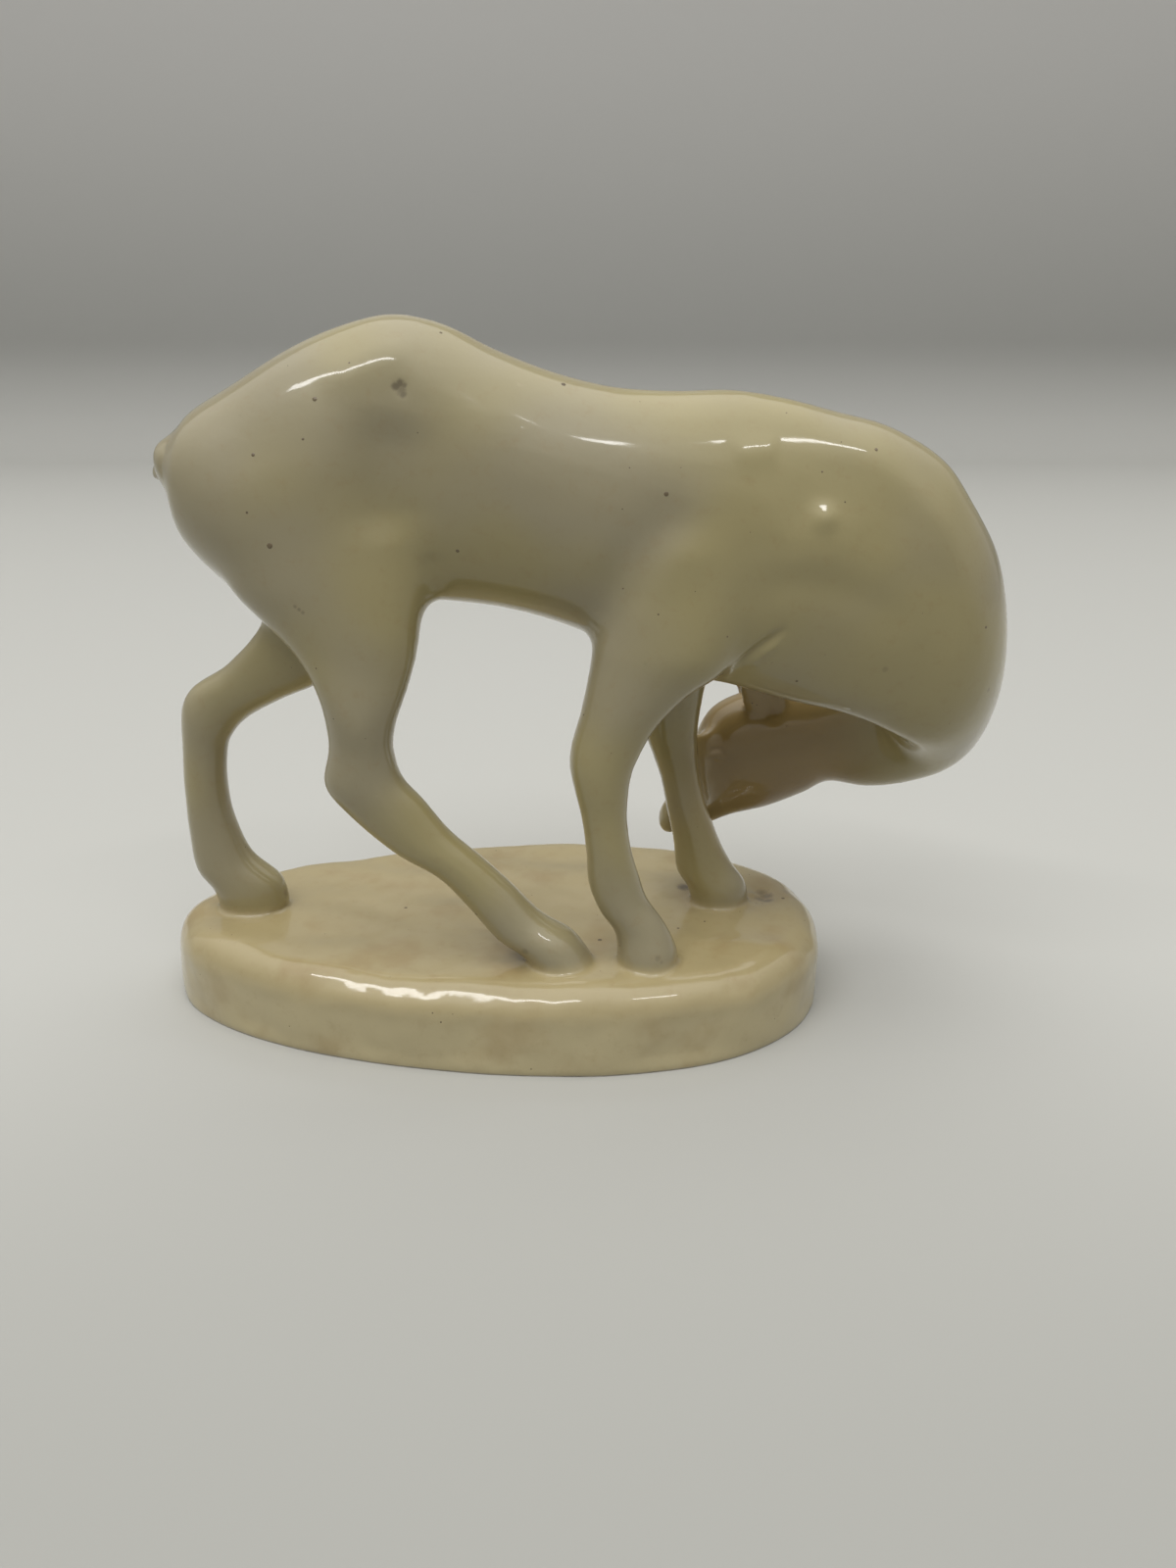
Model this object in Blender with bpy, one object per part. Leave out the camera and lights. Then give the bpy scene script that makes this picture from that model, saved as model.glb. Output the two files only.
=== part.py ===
"""Fawn figurine: a slip-cast fawn that bends its neck round beside its own foreleg, one piece with its oval plinth.

Metres in the file, +Z up, +X the way the fawn walks, -Y its right side, which the figure is made to be seen from.
The origin is the middle of the plinth's flat underside. Every form is lofted through a few cross sections, the
sections overlap inside the body, and one voxel skin fuses them the way clay and glaze do.
"""
from collections import namedtuple
from math import copysign, cos, pi, sin

import bmesh
import bpy
import numpy as np
from mathutils import Vector

MM = 0.001

# Plinth: an oval a little blunter at the head end, with a soft upper edge and a small foot edge
PLINTH_LENGTH = 150.0
PLINTH_DEPTH = 82.0
PLINTH_HEIGHT = 19.3
PLINTH_BLUNTNESS = 0.19
PLINTH_SQUARENESS = 2.16
PLINTH_TOP_EDGE = 7.0
PLINTH_FOOT_EDGE = 0.5

# Breadths of the fawn, side to side
RUMP_WIDTH = 35.5
LOIN_WIDTH = 28.5
CHEST_WIDTH = 33.0
NECK_WIDTH = 25.0
HEAD_WIDTH = 19.0
THIGH_WIDTH = 21.0
SHOULDER_WIDTH = 20.0
HOCK_WIDTH = 11.0
KNEE_WIDTH = 11.0
CANNON_WIDTH = 9.4
HOOF_WIDTH = 11.5
EAR_THICKNESS = 3.6
TAIL_WIDTH = 7.0

# Lines the fawn is laid out on: its own middle, and where each foot is set across the plinth
BODY_LINE = -13.0
NEAR_TRACK = -26.0
FAR_HIND_TRACK = -0.5
FAR_FORE_TRACK = 2.5
HEAD_LINE = 15.0
ROOT_DEPTH = 3.0

# Fineness of the fused skin and of the solid made from it
VOXEL = 1.0
SMOOTH_PASSES = 12
BODY_PASSES = 40
JOINT_FILLET = 3.2
LEG_SPLIT = 6
FACETS = 11000

# A section is held by two opposite points of the outline (x, y, z above the plinth) and a breadth across them.
# A positive egg makes it broader towards the first point, a negative one towards the second.
Section = namedtuple("Section", "over under width egg")


def section(over, under, line, width, egg=0.0):
    """A section whose two outline points are given as (x, z) on one upright plane at y = line."""
    return Section((over[0], line, over[1]), (under[0], line, under[1]), width, egg)


def back_and_neck():
    """Rump, back, chest, the neck's half turn to the far side, and the head that comes back beside the foreleg."""
    line = BODY_LINE
    return [
        section((-58.7, 107), (-60.3, 95.2), line, 0.44 * RUMP_WIDTH),
        section((-55.5, 111.5), (-58.5, 87), line, 0.66 * RUMP_WIDTH),
        section((-47.5, 116.5), (-51.5, 79), line, 0.88 * RUMP_WIDTH, -0.05),
        section((-36.5, 122.5), (-43, 72), line, RUMP_WIDTH, -0.08),
        section((-25.5, 127), (-30, 72), line, 0.98 * RUMP_WIDTH, -0.08),
        section((-16, 129), (-18.5, 75.5), line, 0.98 * LOIN_WIDTH, 0.04),
        section((-6.5, 127.3), (-9, 75), line, LOIN_WIDTH),
        section((4, 122.6), (3, 73.7), line, 0.96 * CHEST_WIDTH),
        section((15, 118.6), (15, 70.6), line, CHEST_WIDTH, -0.03),
        section((26.5, 116), (27, 65.3), line, CHEST_WIDTH, -0.03),
        section((38, 115.3), (39, 60), line, 0.97 * CHEST_WIDTH),
        section((48.5, 115.6), (50, 57.5), line, 0.92 * CHEST_WIDTH),
        section((58.5, 114.2), (57, 55.5), line, 1.18 * NECK_WIDTH),
        section((68.5, 111.7), (64.5, 53.5), line, 1.12 * NECK_WIDTH),
        section((80, 108.6), (73, 51.5), line, 1.06 * NECK_WIDTH),
        section((91, 102), (82, 48), line + 1, 1.02 * NECK_WIDTH, -0.05),
        Section((98.3, -8, 91.5), (91.5, -10, 42.5), NECK_WIDTH, -0.12),
        Section((97.4, 2, 85), (99.6, -1, 34.2), 0.96 * NECK_WIDTH, -0.14),
        Section((94, 10.5, 72), (97, 8, 28.4), 0.92 * NECK_WIDTH, -0.08),
        Section((86, 15, 60), (87.5, 13, 25.4), 0.86 * NECK_WIDTH, 0.0),
        section((76, 52.5), (77.5, 26.2), HEAD_LINE, HEAD_WIDTH),
        section((62, 49.3), (74, 23.8), HEAD_LINE, HEAD_WIDTH, 0.1),
        section((50.4, 44.3), (64, 19.6), HEAD_LINE, 0.94 * HEAD_WIDTH, 0.12),
        section((45.6, 35.2), (55, 17.5), HEAD_LINE - 0.5, 0.72 * HEAD_WIDTH),
        section((42.5, 27), (47, 14.4), HEAD_LINE - 1, 0.58 * HEAD_WIDTH),
        section((39.2, 20), (41.5, 13.5), HEAD_LINE - 1.5, 0.42 * HEAD_WIDTH),
    ]


def near_hind_leg():
    """Thigh, gaskin, hock and the long shank that slants forward under the belly. First point is the front."""
    line = NEAR_TRACK
    return [
        section((-18, 108), (-46, 111), line + 9, 0.8 * THIGH_WIDTH),
        section((-14, 95), (-51, 93), line + 6.5, THIGH_WIDTH),
        section((-11, 79), (-49.5, 80), line + 4.5, 0.94 * THIGH_WIDTH),
        section((-11.5, 70), (-41, 71), line + 2.5, 0.76 * THIGH_WIDTH),
        section((-14.5, 60), (-36, 65.5), line + 1, 0.62 * THIGH_WIDTH),
        section((-17.5, 52), (-32, 57), line, 1.15 * HOCK_WIDTH),
        section((-18, 46.5), (-31, 48), line, HOCK_WIDTH),
        section((-16.5, 41), (-32.4, 40), line, HOCK_WIDTH),
        section((-12.5, 36), (-28, 33.5), line, 1.08 * CANNON_WIDTH),
        section((-7.5, 29.5), (-19, 25), line, CANNON_WIDTH),
        section((-1.5, 24), (-10.5, 19.5), line, 0.96 * CANNON_WIDTH),
        section((4.5, 18), (-4.5, 13), line, CANNON_WIDTH),
        section((11, 11), (1.5, 5.5), line - 0.3, 1.2 * CANNON_WIDTH),
        section((18, 6.5), (7, 1.5), line - 0.8, 1.14 * HOOF_WIDTH),
        section((22.5, 0), (9.5, -ROOT_DEPTH), line - 1.2, 1.25 * HOOF_WIDTH),
    ]


def far_hind_leg():
    """The other hind leg, stretched back."""
    line = FAR_HIND_TRACK
    return [
        section((-18, 106), (-46, 109), line - 9, 0.8 * THIGH_WIDTH),
        section((-14, 92), (-51, 92), line - 7, THIGH_WIDTH),
        section((-14, 76), (-50, 80), line - 5.5, 0.92 * THIGH_WIDTH),
        section((-25, 63), (-48, 74), line - 4, 0.72 * THIGH_WIDTH),
        section((-36, 55.5), (-48.5, 68), line - 3, 0.6 * THIGH_WIDTH),
        section((-45, 51.5), (-57.5, 58.5), line - 1, 1.1 * HOCK_WIDTH),
        section((-54, 46.5), (-64.8, 54), line, HOCK_WIDTH),
        section((-58, 42.5), (-68.4, 49), line, HOCK_WIDTH),
        section((-59.7, 38.5), (-69.4, 39.5), line, CANNON_WIDTH),
        section((-60.5, 30.5), (-70, 30.5), line, CANNON_WIDTH),
        section((-59.5, 22), (-70.3, 21), line, CANNON_WIDTH),
        section((-56.5, 13.5), (-69.5, 10.5), line, 1.1 * CANNON_WIDTH),
        section((-50.5, 7.5), (-66, 4.5), line, HOOF_WIDTH),
        section((-49, 2), (-64.8, -ROOT_DEPTH), line, HOOF_WIDTH),
    ]


def near_fore_leg():
    """Shoulder and the upright foreleg on the side that is seen."""
    line = NEAR_TRACK
    return [
        section((58, 101), (40, 103), line + 10, 0.8 * SHOULDER_WIDTH),
        section((58, 88), (32, 90), line + 7.5, SHOULDER_WIDTH),
        section((55, 75), (25.5, 79.5), line + 5.5, SHOULDER_WIDTH),
        section((49, 63.5), (22, 69), line + 3, 0.9 * SHOULDER_WIDTH),
        section((41, 58), (21, 62.5), line + 1.5, 0.72 * SHOULDER_WIDTH),
        section((35, 52), (19.5, 55), line + 0.5, 1.12 * KNEE_WIDTH),
        section((31.5, 46), (17.8, 49), line, KNEE_WIDTH),
        section((30, 42.3), (17.3, 43.9), line, KNEE_WIDTH),
        section((29.2, 37.6), (18.2, 38.9), line, 0.95 * KNEE_WIDTH),
        section((29, 32.1), (19.6, 32.7), line, CANNON_WIDTH),
        section((29.9, 25.5), (20.6, 25.1), line, CANNON_WIDTH),
        section((31.6, 19.5), (21, 18.4), line, CANNON_WIDTH),
        section((33.5, 14), (23.3, 11.9), line, 1.06 * CANNON_WIDTH),
        section((37.5, 8), (26.8, 6.5), line - 0.3, 1.14 * CANNON_WIDTH),
        section((40, 2), (27.3, 0), line - 0.8, 1.18 * HOOF_WIDTH),
        section((39.5, -ROOT_DEPTH), (27.5, -ROOT_DEPTH), line - 0.8, 1.22 * HOOF_WIDTH),
    ]


def far_fore_leg():
    """The other foreleg, set a little forward, that the muzzle lies against."""
    line = FAR_FORE_TRACK
    return [
        section((58, 96), (36, 98), line - 12, 0.8 * SHOULDER_WIDTH),
        section((56, 80), (30, 80), line - 9, SHOULDER_WIDTH),
        section((51, 66), (29, 64), line - 5.5, 0.84 * SHOULDER_WIDTH),
        section((47.2, 55.5), (31.8, 53.3), line - 2.5, 1.15 * KNEE_WIDTH),
        section((45.7, 45.1), (33, 44), line - 1, KNEE_WIDTH),
        section((45.8, 38.6), (35.2, 37.6), line, 0.96 * KNEE_WIDTH),
        section((46.8, 30.1), (37.6, 30.6), line, CANNON_WIDTH),
        section((48.3, 23.9), (39.1, 24.1), line, CANNON_WIDTH),
        section((51.8, 15.3), (40.8, 16.1), line, CANNON_WIDTH),
        section((55, 9.4), (41.7, 8.6), line, 1.06 * CANNON_WIDTH),
        section((58, 5.0), (44.6, 3.6), line, HOOF_WIDTH),
        section((59, 0), (45.4, -ROOT_DEPTH), line, HOOF_WIDTH),
    ]


def tail():
    """A short tail laid down against the rump."""
    line = BODY_LINE
    return [
        section((-56, 110.4), (-51.5, 105), line, 0.8 * TAIL_WIDTH),
        section((-60.2, 107.2), (-55.5, 103), line, TAIL_WIDTH),
        section((-63.2, 103.3), (-59.3, 100.8), line, 0.9 * TAIL_WIDTH),
        section((-64.3, 100.2), (-61, 99), line, 0.6 * TAIL_WIDTH),
    ]


def ear(side):
    """One ear, a short leaf laid back from the head beside the neck. side is -1 near, +1 far."""
    root = HEAD_LINE + side * 0.24 * HEAD_WIDTH
    tip = HEAD_LINE + side * 0.46 * HEAD_WIDTH
    return [
        section((58.5, 39), (68, 39), root, 1.3 * EAR_THICKNESS),
        section((57, 45), (67, 46.5), (2 * root + tip) / 3, EAR_THICKNESS),
        section((55.3, 51.5), (64.5, 54), (root + 2 * tip) / 3, 0.9 * EAR_THICKNESS),
        section((56, 57.5), (60, 59), tip, 0.6 * EAR_THICKNESS),
    ]


def blend(p0, p1, p2, p3, t):
    """Smooth curve through p1 and p2 that takes its slopes from p0 and p3."""
    slope_in = 0.5 * (p2 - p0)
    slope_out = 0.5 * (p3 - p1)
    rise = 2 * t ** 3 - 3 * t ** 2
    return (1 + rise) * p1 + (t ** 3 - 2 * t ** 2 + t) * slope_in - rise * p2 + (t ** 3 - t ** 2) * slope_out


def smooth_run(sections, steps):
    """The sections as rows of numbers, with smooth ones added between each two."""
    rows = [np.array([*s.over, *s.under, s.width, s.egg]) for s in sections]
    rows = [2 * rows[0] - rows[1], *rows, 2 * rows[-1] - rows[-2]]
    run = []
    for index in range(1, len(rows) - 2):
        for step in range(steps):
            run.append(blend(*rows[index - 1:index + 3], step / steps))
    run.append(rows[-2])
    return run


def loft(mesh, sections, steps=4, count=24, dome=0.5, first=0, last=None):
    """Add a closed tube to the mesh, from the first section to the last, with domed ends.

    dome is the ends' length as a share of their own half breadth."""
    run = smooth_run(sections, steps)
    run = run[first * steps:] if last is None else run[first * steps:last * steps + 1]
    over = [Vector(row[0:3]) for row in run]
    under = [Vector(row[3:6]) for row in run]
    middle = [(a + b) / 2 for a, b in zip(over, under)]
    rings = []
    for index, row in enumerate(run):
        before = middle[max(index - 1, 0)]
        after = middle[min(index + 1, len(run) - 1)]
        forward = (after - before).normalized()
        upward = (over[index] - under[index]) / 2
        across = forward.cross(upward).normalized() * row[6] / 2
        rings.append((middle[index], upward, across, forward, row[7]))

    def ring(centre, upward, across, egg):
        points = []
        for step in range(count):
            turn = 2 * pi * step / count
            spread = cos(turn) * (1 + egg * sin(turn))
            points.append(mesh.verts.new((centre + upward * sin(turn) + across * spread) * MM))
        return points

    def dome_rings(end, outward):
        centre, upward, across, forward, egg = end
        reach = outward * dome * min(upward.length, across.length)
        tucked = []
        for step in (1, 2, 3):
            turn = step * pi / 8
            tucked.append(ring(centre + forward * reach * sin(turn), upward * cos(turn), across * cos(turn), egg))
        pole = mesh.verts.new((centre + forward * reach) * MM)
        return tucked, pole

    start, start_pole = dome_rings(rings[0], -1)
    finish, finish_pole = dome_rings(rings[-1], 1)
    body = [ring(centre, upward, across, egg) for centre, upward, across, forward, egg in rings]
    body = start[::-1] + body + finish
    for lower, upper in zip(body, body[1:]):
        for step in range(count):
            after = (step + 1) % count
            mesh.faces.new((lower[step], lower[after], upper[after], upper[step]))
    for step in range(count):
        after = (step + 1) % count
        mesh.faces.new((start_pole, body[0][after], body[0][step]))
        mesh.faces.new((finish_pole, body[-1][step], body[-1][after]))


def plinth_outline(inset, count=96):
    """The oval at that inset from the plinth's wall, as x, y in millimetres."""
    half_length = PLINTH_LENGTH / 2 - inset
    half_depth = PLINTH_DEPTH / 2 - inset
    points = []
    for step in range(count):
        turn = 2 * pi * step / count
        x = copysign(abs(cos(turn)) ** (2 / PLINTH_SQUARENESS), cos(turn))
        y = copysign(abs(sin(turn)) ** (2 / PLINTH_SQUARENESS), sin(turn))
        points.append((half_length * x, half_depth * y * (1 + PLINTH_BLUNTNESS * x)))
    return points


def add_plinth(mesh):
    """The plinth as stacked ovals, measured down from the fawn's ground. It runs on below the underside for the cut."""
    levels = [(-PLINTH_HEIGHT - ROOT_DEPTH, PLINTH_FOOT_EDGE), (-PLINTH_HEIGHT, PLINTH_FOOT_EDGE)]
    levels.append((-PLINTH_HEIGHT + PLINTH_FOOT_EDGE, 0.1))
    levels.append((-PLINTH_HEIGHT * 0.6, 0.0))
    for step in range(7):
        turn = step * pi / 12
        levels.append((-PLINTH_TOP_EDGE * (1 - sin(turn)), PLINTH_TOP_EDGE * (1 - cos(turn))))
    stack = []
    for height, inset in levels:
        outline = plinth_outline(inset)
        stack.append([mesh.verts.new(Vector((x, y, height)) * MM) for x, y in outline])
    for lower, upper in zip(stack, stack[1:]):
        for step in range(len(lower)):
            after = (step + 1) % len(lower)
            mesh.faces.new((lower[step], lower[after], upper[after], upper[step]))
    mesh.faces.new(stack[0])
    mesh.faces.new(stack[-1])


def read_mesh(mesh):
    """The mesh's points, the two ends of each edge and how many edges meet at each point."""
    points = np.empty(len(mesh.vertices) * 3)
    mesh.vertices.foreach_get("co", points)
    edges = np.empty(len(mesh.edges) * 2, dtype=np.int32)
    mesh.edges.foreach_get("vertices", edges)
    first, second = edges.reshape(-1, 2).T
    links = np.bincount(first, minlength=len(mesh.vertices)) + np.bincount(second, minlength=len(mesh.vertices))
    return points.reshape(-1, 3), first, second, links


def to_neighbours(points, first, second, links):
    """From each point to the middle of the points it is joined to."""
    total = np.zeros_like(points)
    for axis in range(3):
        total[:, axis] += np.bincount(first, points[second, axis], len(points))
        total[:, axis] += np.bincount(second, points[first, axis], len(points))
    return total / links[:, None] - points


def write_mesh(mesh, points):
    mesh.vertices.foreach_set("co", points.ravel())
    mesh.update()


def smoothed(mesh, passes):
    """Even the voxel steps out without shrinking the thin legs: each pass pulls in, then pushes back out."""
    points, first, second, links = read_mesh(mesh)
    for pull in (0.5, -0.52) * passes:
        points = points + pull * to_neighbours(points, first, second, links)
    write_mesh(mesh, points)


def soften(mesh, places):
    """Let the surface flow near each place, most at its middle and not at all at its reach."""
    points, first, second, links = read_mesh(mesh)
    for (x, y, z), reach, passes in places:
        away = np.linalg.norm(points / MM - (x, y, z + PLINTH_HEIGHT), axis=1) / reach
        share = np.clip(1 - away, 0, 1)[:, None]
        share = 0.5 * share * share * (3 - 2 * share)
        for _ in range(passes):
            points = points + share * to_neighbours(points, first, second, links)
    write_mesh(mesh, points)


def evaluated(thing):
    """The object's mesh with its modifiers worked in, as a mesh of its own."""
    graph = bpy.context.evaluated_depsgraph_get()
    return bpy.data.meshes.new_from_object(thing.evaluated_get(graph))


def settle(thing, passes):
    """Work the modifiers in and smooth what they leave."""
    thing.data = evaluated(thing)
    thing.modifiers.clear()
    smoothed(thing.data, passes)


def add_skin(thing):
    skin = thing.modifiers.new("skin", "REMESH")
    skin.mode = "VOXEL"
    skin.voxel_size = VOXEL * MM


def fuse(thing, passes):
    """One skin over all the shapes that the mesh holds."""
    add_skin(thing)
    settle(thing, passes)


def fillet(thing, radius):
    """Round out every inner corner: swell the skin by the radius, fuse it again and shrink it back."""
    for reach in (radius, -radius):
        swell = thing.modifiers.new("swell", "DISPLACE")
        swell.mid_level = 0.0
        swell.strength = reach * MM
        add_skin(thing)
        settle(thing, 3)


def add_forms(thing, build):
    """Run build on a new mesh, face it outwards and join it to what the object's mesh already holds."""
    forms = bmesh.new()
    build(forms)
    bmesh.ops.recalc_face_normals(forms, faces=forms.faces)
    bmesh.ops.translate(forms, verts=forms.verts, vec=(0, 0, PLINTH_HEIGHT * MM))
    forms.from_mesh(thing.data)
    forms.to_mesh(thing.data)
    forms.free()


def soft_places():
    """Where one muscle runs over into the next: middle and reach of each place, and how many passes soften it."""
    haunch = ((-33, 17, 95), 27, 90)
    stifle = ((-16, 15, 78), 15, 40)
    arm = ((37, 17, 84), 21, 60)
    brisket = ((56, 14, 70), 14, 40)
    flank = ((-11, 12, 73), 9, 24)
    throat = ((88, -4, 42), 10, 50)
    places = [throat]
    for side in (-1, 1):
        for (x, across, z), reach, passes in (haunch, stifle, arm, brisket, flank):
            places.append(((x, BODY_LINE + side * across, z), reach, passes))
    return places


def legs():
    return near_hind_leg(), far_hind_leg(), near_fore_leg(), far_fore_leg()


def body_forms(mesh):
    """The body with the upper half of each leg: what runs together in wide soft corners."""
    loft(mesh, back_and_neck(), dome=0.8)
    for leg in legs():
        loft(mesh, leg, last=LEG_SPLIT + 1)


def fine_forms(mesh):
    """What keeps its own crisper edges: lower legs with their hooves, tail, ears and the plinth."""
    for leg in legs():
        loft(mesh, leg, first=LEG_SPLIT)
    loft(mesh, tail(), dome=0.7)
    for side in (-1, 1):
        loft(mesh, ear(side), count=16)
    add_plinth(mesh)


def glaze():
    material = bpy.data.materials.new("ivory_glaze")
    material.use_nodes = True
    shader = material.node_tree.nodes["Principled BSDF"]
    shader.inputs["Base Color"].default_value = (0.66, 0.60, 0.44, 1)
    shader.inputs["Roughness"].default_value = 0.12
    return material


def main():
    for old in list(bpy.data.objects):
        bpy.data.objects.remove(old)

    figurine = bpy.data.objects.new("deer_figurine", bpy.data.meshes.new("figurine"))
    bpy.context.collection.objects.link(figurine)
    add_forms(figurine, body_forms)
    fuse(figurine, BODY_PASSES)
    fillet(figurine, JOINT_FILLET)
    soften(figurine.data, soft_places())
    add_forms(figurine, fine_forms)
    fuse(figurine, SMOOTH_PASSES)

    thinned = figurine.modifiers.new("fewer faces", "DECIMATE")
    figurine.data.calc_loop_triangles()
    thinned.ratio = FACETS / len(figurine.data.loop_triangles)
    thinned.use_collapse_triangulate = True
    figurine.data = evaluated(figurine)
    figurine.modifiers.clear()

    cut = bmesh.new()
    cut.from_mesh(figurine.data)
    everything = cut.verts[:] + cut.edges[:] + cut.faces[:]
    bmesh.ops.bisect_plane(cut, geom=everything, dist=1e-7, plane_co=(0, 0, 0), plane_no=(0, 0, 1), clear_inner=True)
    rim = [edge for edge in cut.edges if edge.is_boundary]
    bmesh.ops.contextual_create(cut, geom=rim)
    bmesh.ops.recalc_face_normals(cut, faces=cut.faces)
    cut.to_mesh(figurine.data)
    cut.free()
    figurine.data.shade_smooth()
    figurine.data.materials.clear()
    figurine.data.materials.append(glaze())


main()
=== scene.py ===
# %% [markdown]
# A glazed ceramic fawn on an oval plinth. The real one is a single slip cast: liquid clay is poured into
# a plaster mould, the thin shell that sets on its wall is taken out, fired, dipped in a clear ivory glaze
# and fired again. So there is one body and one finish, and all of its character lies in how softly one
# form runs into the next, in the long thin highlights, and in the small flaws that a dip glaze leaves.
#
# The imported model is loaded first. It stays where it is, and what is made here is laid over it.

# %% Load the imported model
from collections import namedtuple
from math import copysign, cos, pi, radians, sin

import bmesh
import bpy
import numpy as np
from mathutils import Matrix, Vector
from mathutils.bvhtree import BVHTree


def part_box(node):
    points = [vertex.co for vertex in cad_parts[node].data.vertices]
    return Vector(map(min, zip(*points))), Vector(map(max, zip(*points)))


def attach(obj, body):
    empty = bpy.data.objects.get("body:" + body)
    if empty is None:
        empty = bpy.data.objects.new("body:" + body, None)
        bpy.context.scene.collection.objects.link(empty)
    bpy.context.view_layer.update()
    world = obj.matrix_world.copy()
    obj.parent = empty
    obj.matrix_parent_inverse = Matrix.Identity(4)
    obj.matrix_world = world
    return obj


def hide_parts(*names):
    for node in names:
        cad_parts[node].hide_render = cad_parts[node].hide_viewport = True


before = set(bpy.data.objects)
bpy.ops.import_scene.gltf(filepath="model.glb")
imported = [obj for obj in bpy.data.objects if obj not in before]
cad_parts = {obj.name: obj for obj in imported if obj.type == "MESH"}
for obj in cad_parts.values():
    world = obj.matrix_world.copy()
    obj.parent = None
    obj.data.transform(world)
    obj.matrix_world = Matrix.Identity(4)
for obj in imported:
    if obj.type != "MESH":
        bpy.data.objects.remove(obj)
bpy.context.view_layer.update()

NODE = "deer_figurine"
MM = 0.001

low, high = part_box(NODE)
print("packed box in mm:", [round(v / MM, 1) for v in low], [round(v / MM, 1) for v in high])

# %% [markdown]
# The camera comes early, because later cells look through it: a flaw that the photograph shows is given
# as the pixel where it is seen, and a ray through that pixel finds its place on the clay. The picture is
# 1200 by 1600 pixels. It was taken from close by, with a lens as wide as a phone's, a little above the
# fawn's back and pitched down.

# %% Camera
PICTURE_WIDTH = 1200
PICTURE_HEIGHT = 1600
FOCAL_PIXELS = 1203
CAMERA_PLACE = Vector((21.0, -251.0, 141.0)) * MM
CAMERA_PITCH = radians(20)
SENSOR = 36.0

camera_data = bpy.data.cameras.new("camera")
camera_data.sensor_width = SENSOR
camera_data.lens = SENSOR * FOCAL_PIXELS / PICTURE_HEIGHT
camera_data.clip_start = 0.01
camera = bpy.data.objects.new("camera", camera_data)
camera.location = CAMERA_PLACE
camera.rotation_euler = (pi / 2 - CAMERA_PITCH, 0, 0)
bpy.context.scene.collection.objects.link(camera)
bpy.context.scene.camera = camera
print("camera lens", round(camera_data.lens, 2), "mm, at", [round(v / MM) for v in camera.location], "mm")

# %% [markdown]
# The plinth is an oval that is a little blunter under the fawn's chest. A superellipse gives the outline:
# a power of 2 is an ellipse and a larger one is squarer. All sizes are millimetres until a point is added
# to a mesh.

# %% Sizes of the plinth and of the fawn
PLINTH_LENGTH = 150.0
PLINTH_DEPTH = 82.0
PLINTH_HEIGHT = 19.3
PLINTH_BLUNTNESS = 0.19
PLINTH_SQUARENESS = 2.16
PLINTH_TOP_EDGE = 7.0
PLINTH_FOOT_EDGE = 0.5

RUMP_WIDTH = 35.5
LOIN_WIDTH = 28.5
CHEST_WIDTH = 33.0
NECK_WIDTH = 25.0
HEAD_WIDTH = 19.0
THIGH_WIDTH = 21.0
SHOULDER_WIDTH = 20.0
HOCK_WIDTH = 11.0
KNEE_WIDTH = 11.0
CANNON_WIDTH = 9.4
HOOF_WIDTH = 11.5
EAR_THICKNESS = 3.6
TAIL_WIDTH = 7.0

BODY_LINE = -13.0
NEAR_TRACK = -26.0
FAR_HIND_TRACK = -0.5
FAR_FORE_TRACK = 2.5
HEAD_LINE = 15.0
ROOT_DEPTH = 3.0
print("plinth", round(PLINTH_LENGTH, 1), "x", PLINTH_DEPTH, "x", PLINTH_HEIGHT, "mm")

# %% [markdown]
# A modeller who works from a side view draws the outline first and adds breadth afterwards. Each section
# below does the same: two opposite points of the outline, as x and height above the plinth, and a breadth
# across them. The egg makes the oval broader at its first point (positive) or at its second (negative). A
# body in clay has no hard parts, so a few dozen sections with a smooth curve through them hold the whole
# animal.

# %% Sections of the back, the neck and the head
Section = namedtuple("Section", "over under width egg")


def section(over, under, line, width, egg=0.0):
    """A section whose two outline points are given as (x, z) on one upright plane at y = line."""
    return Section((over[0], line, over[1]), (under[0], line, under[1]), width, egg)


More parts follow.
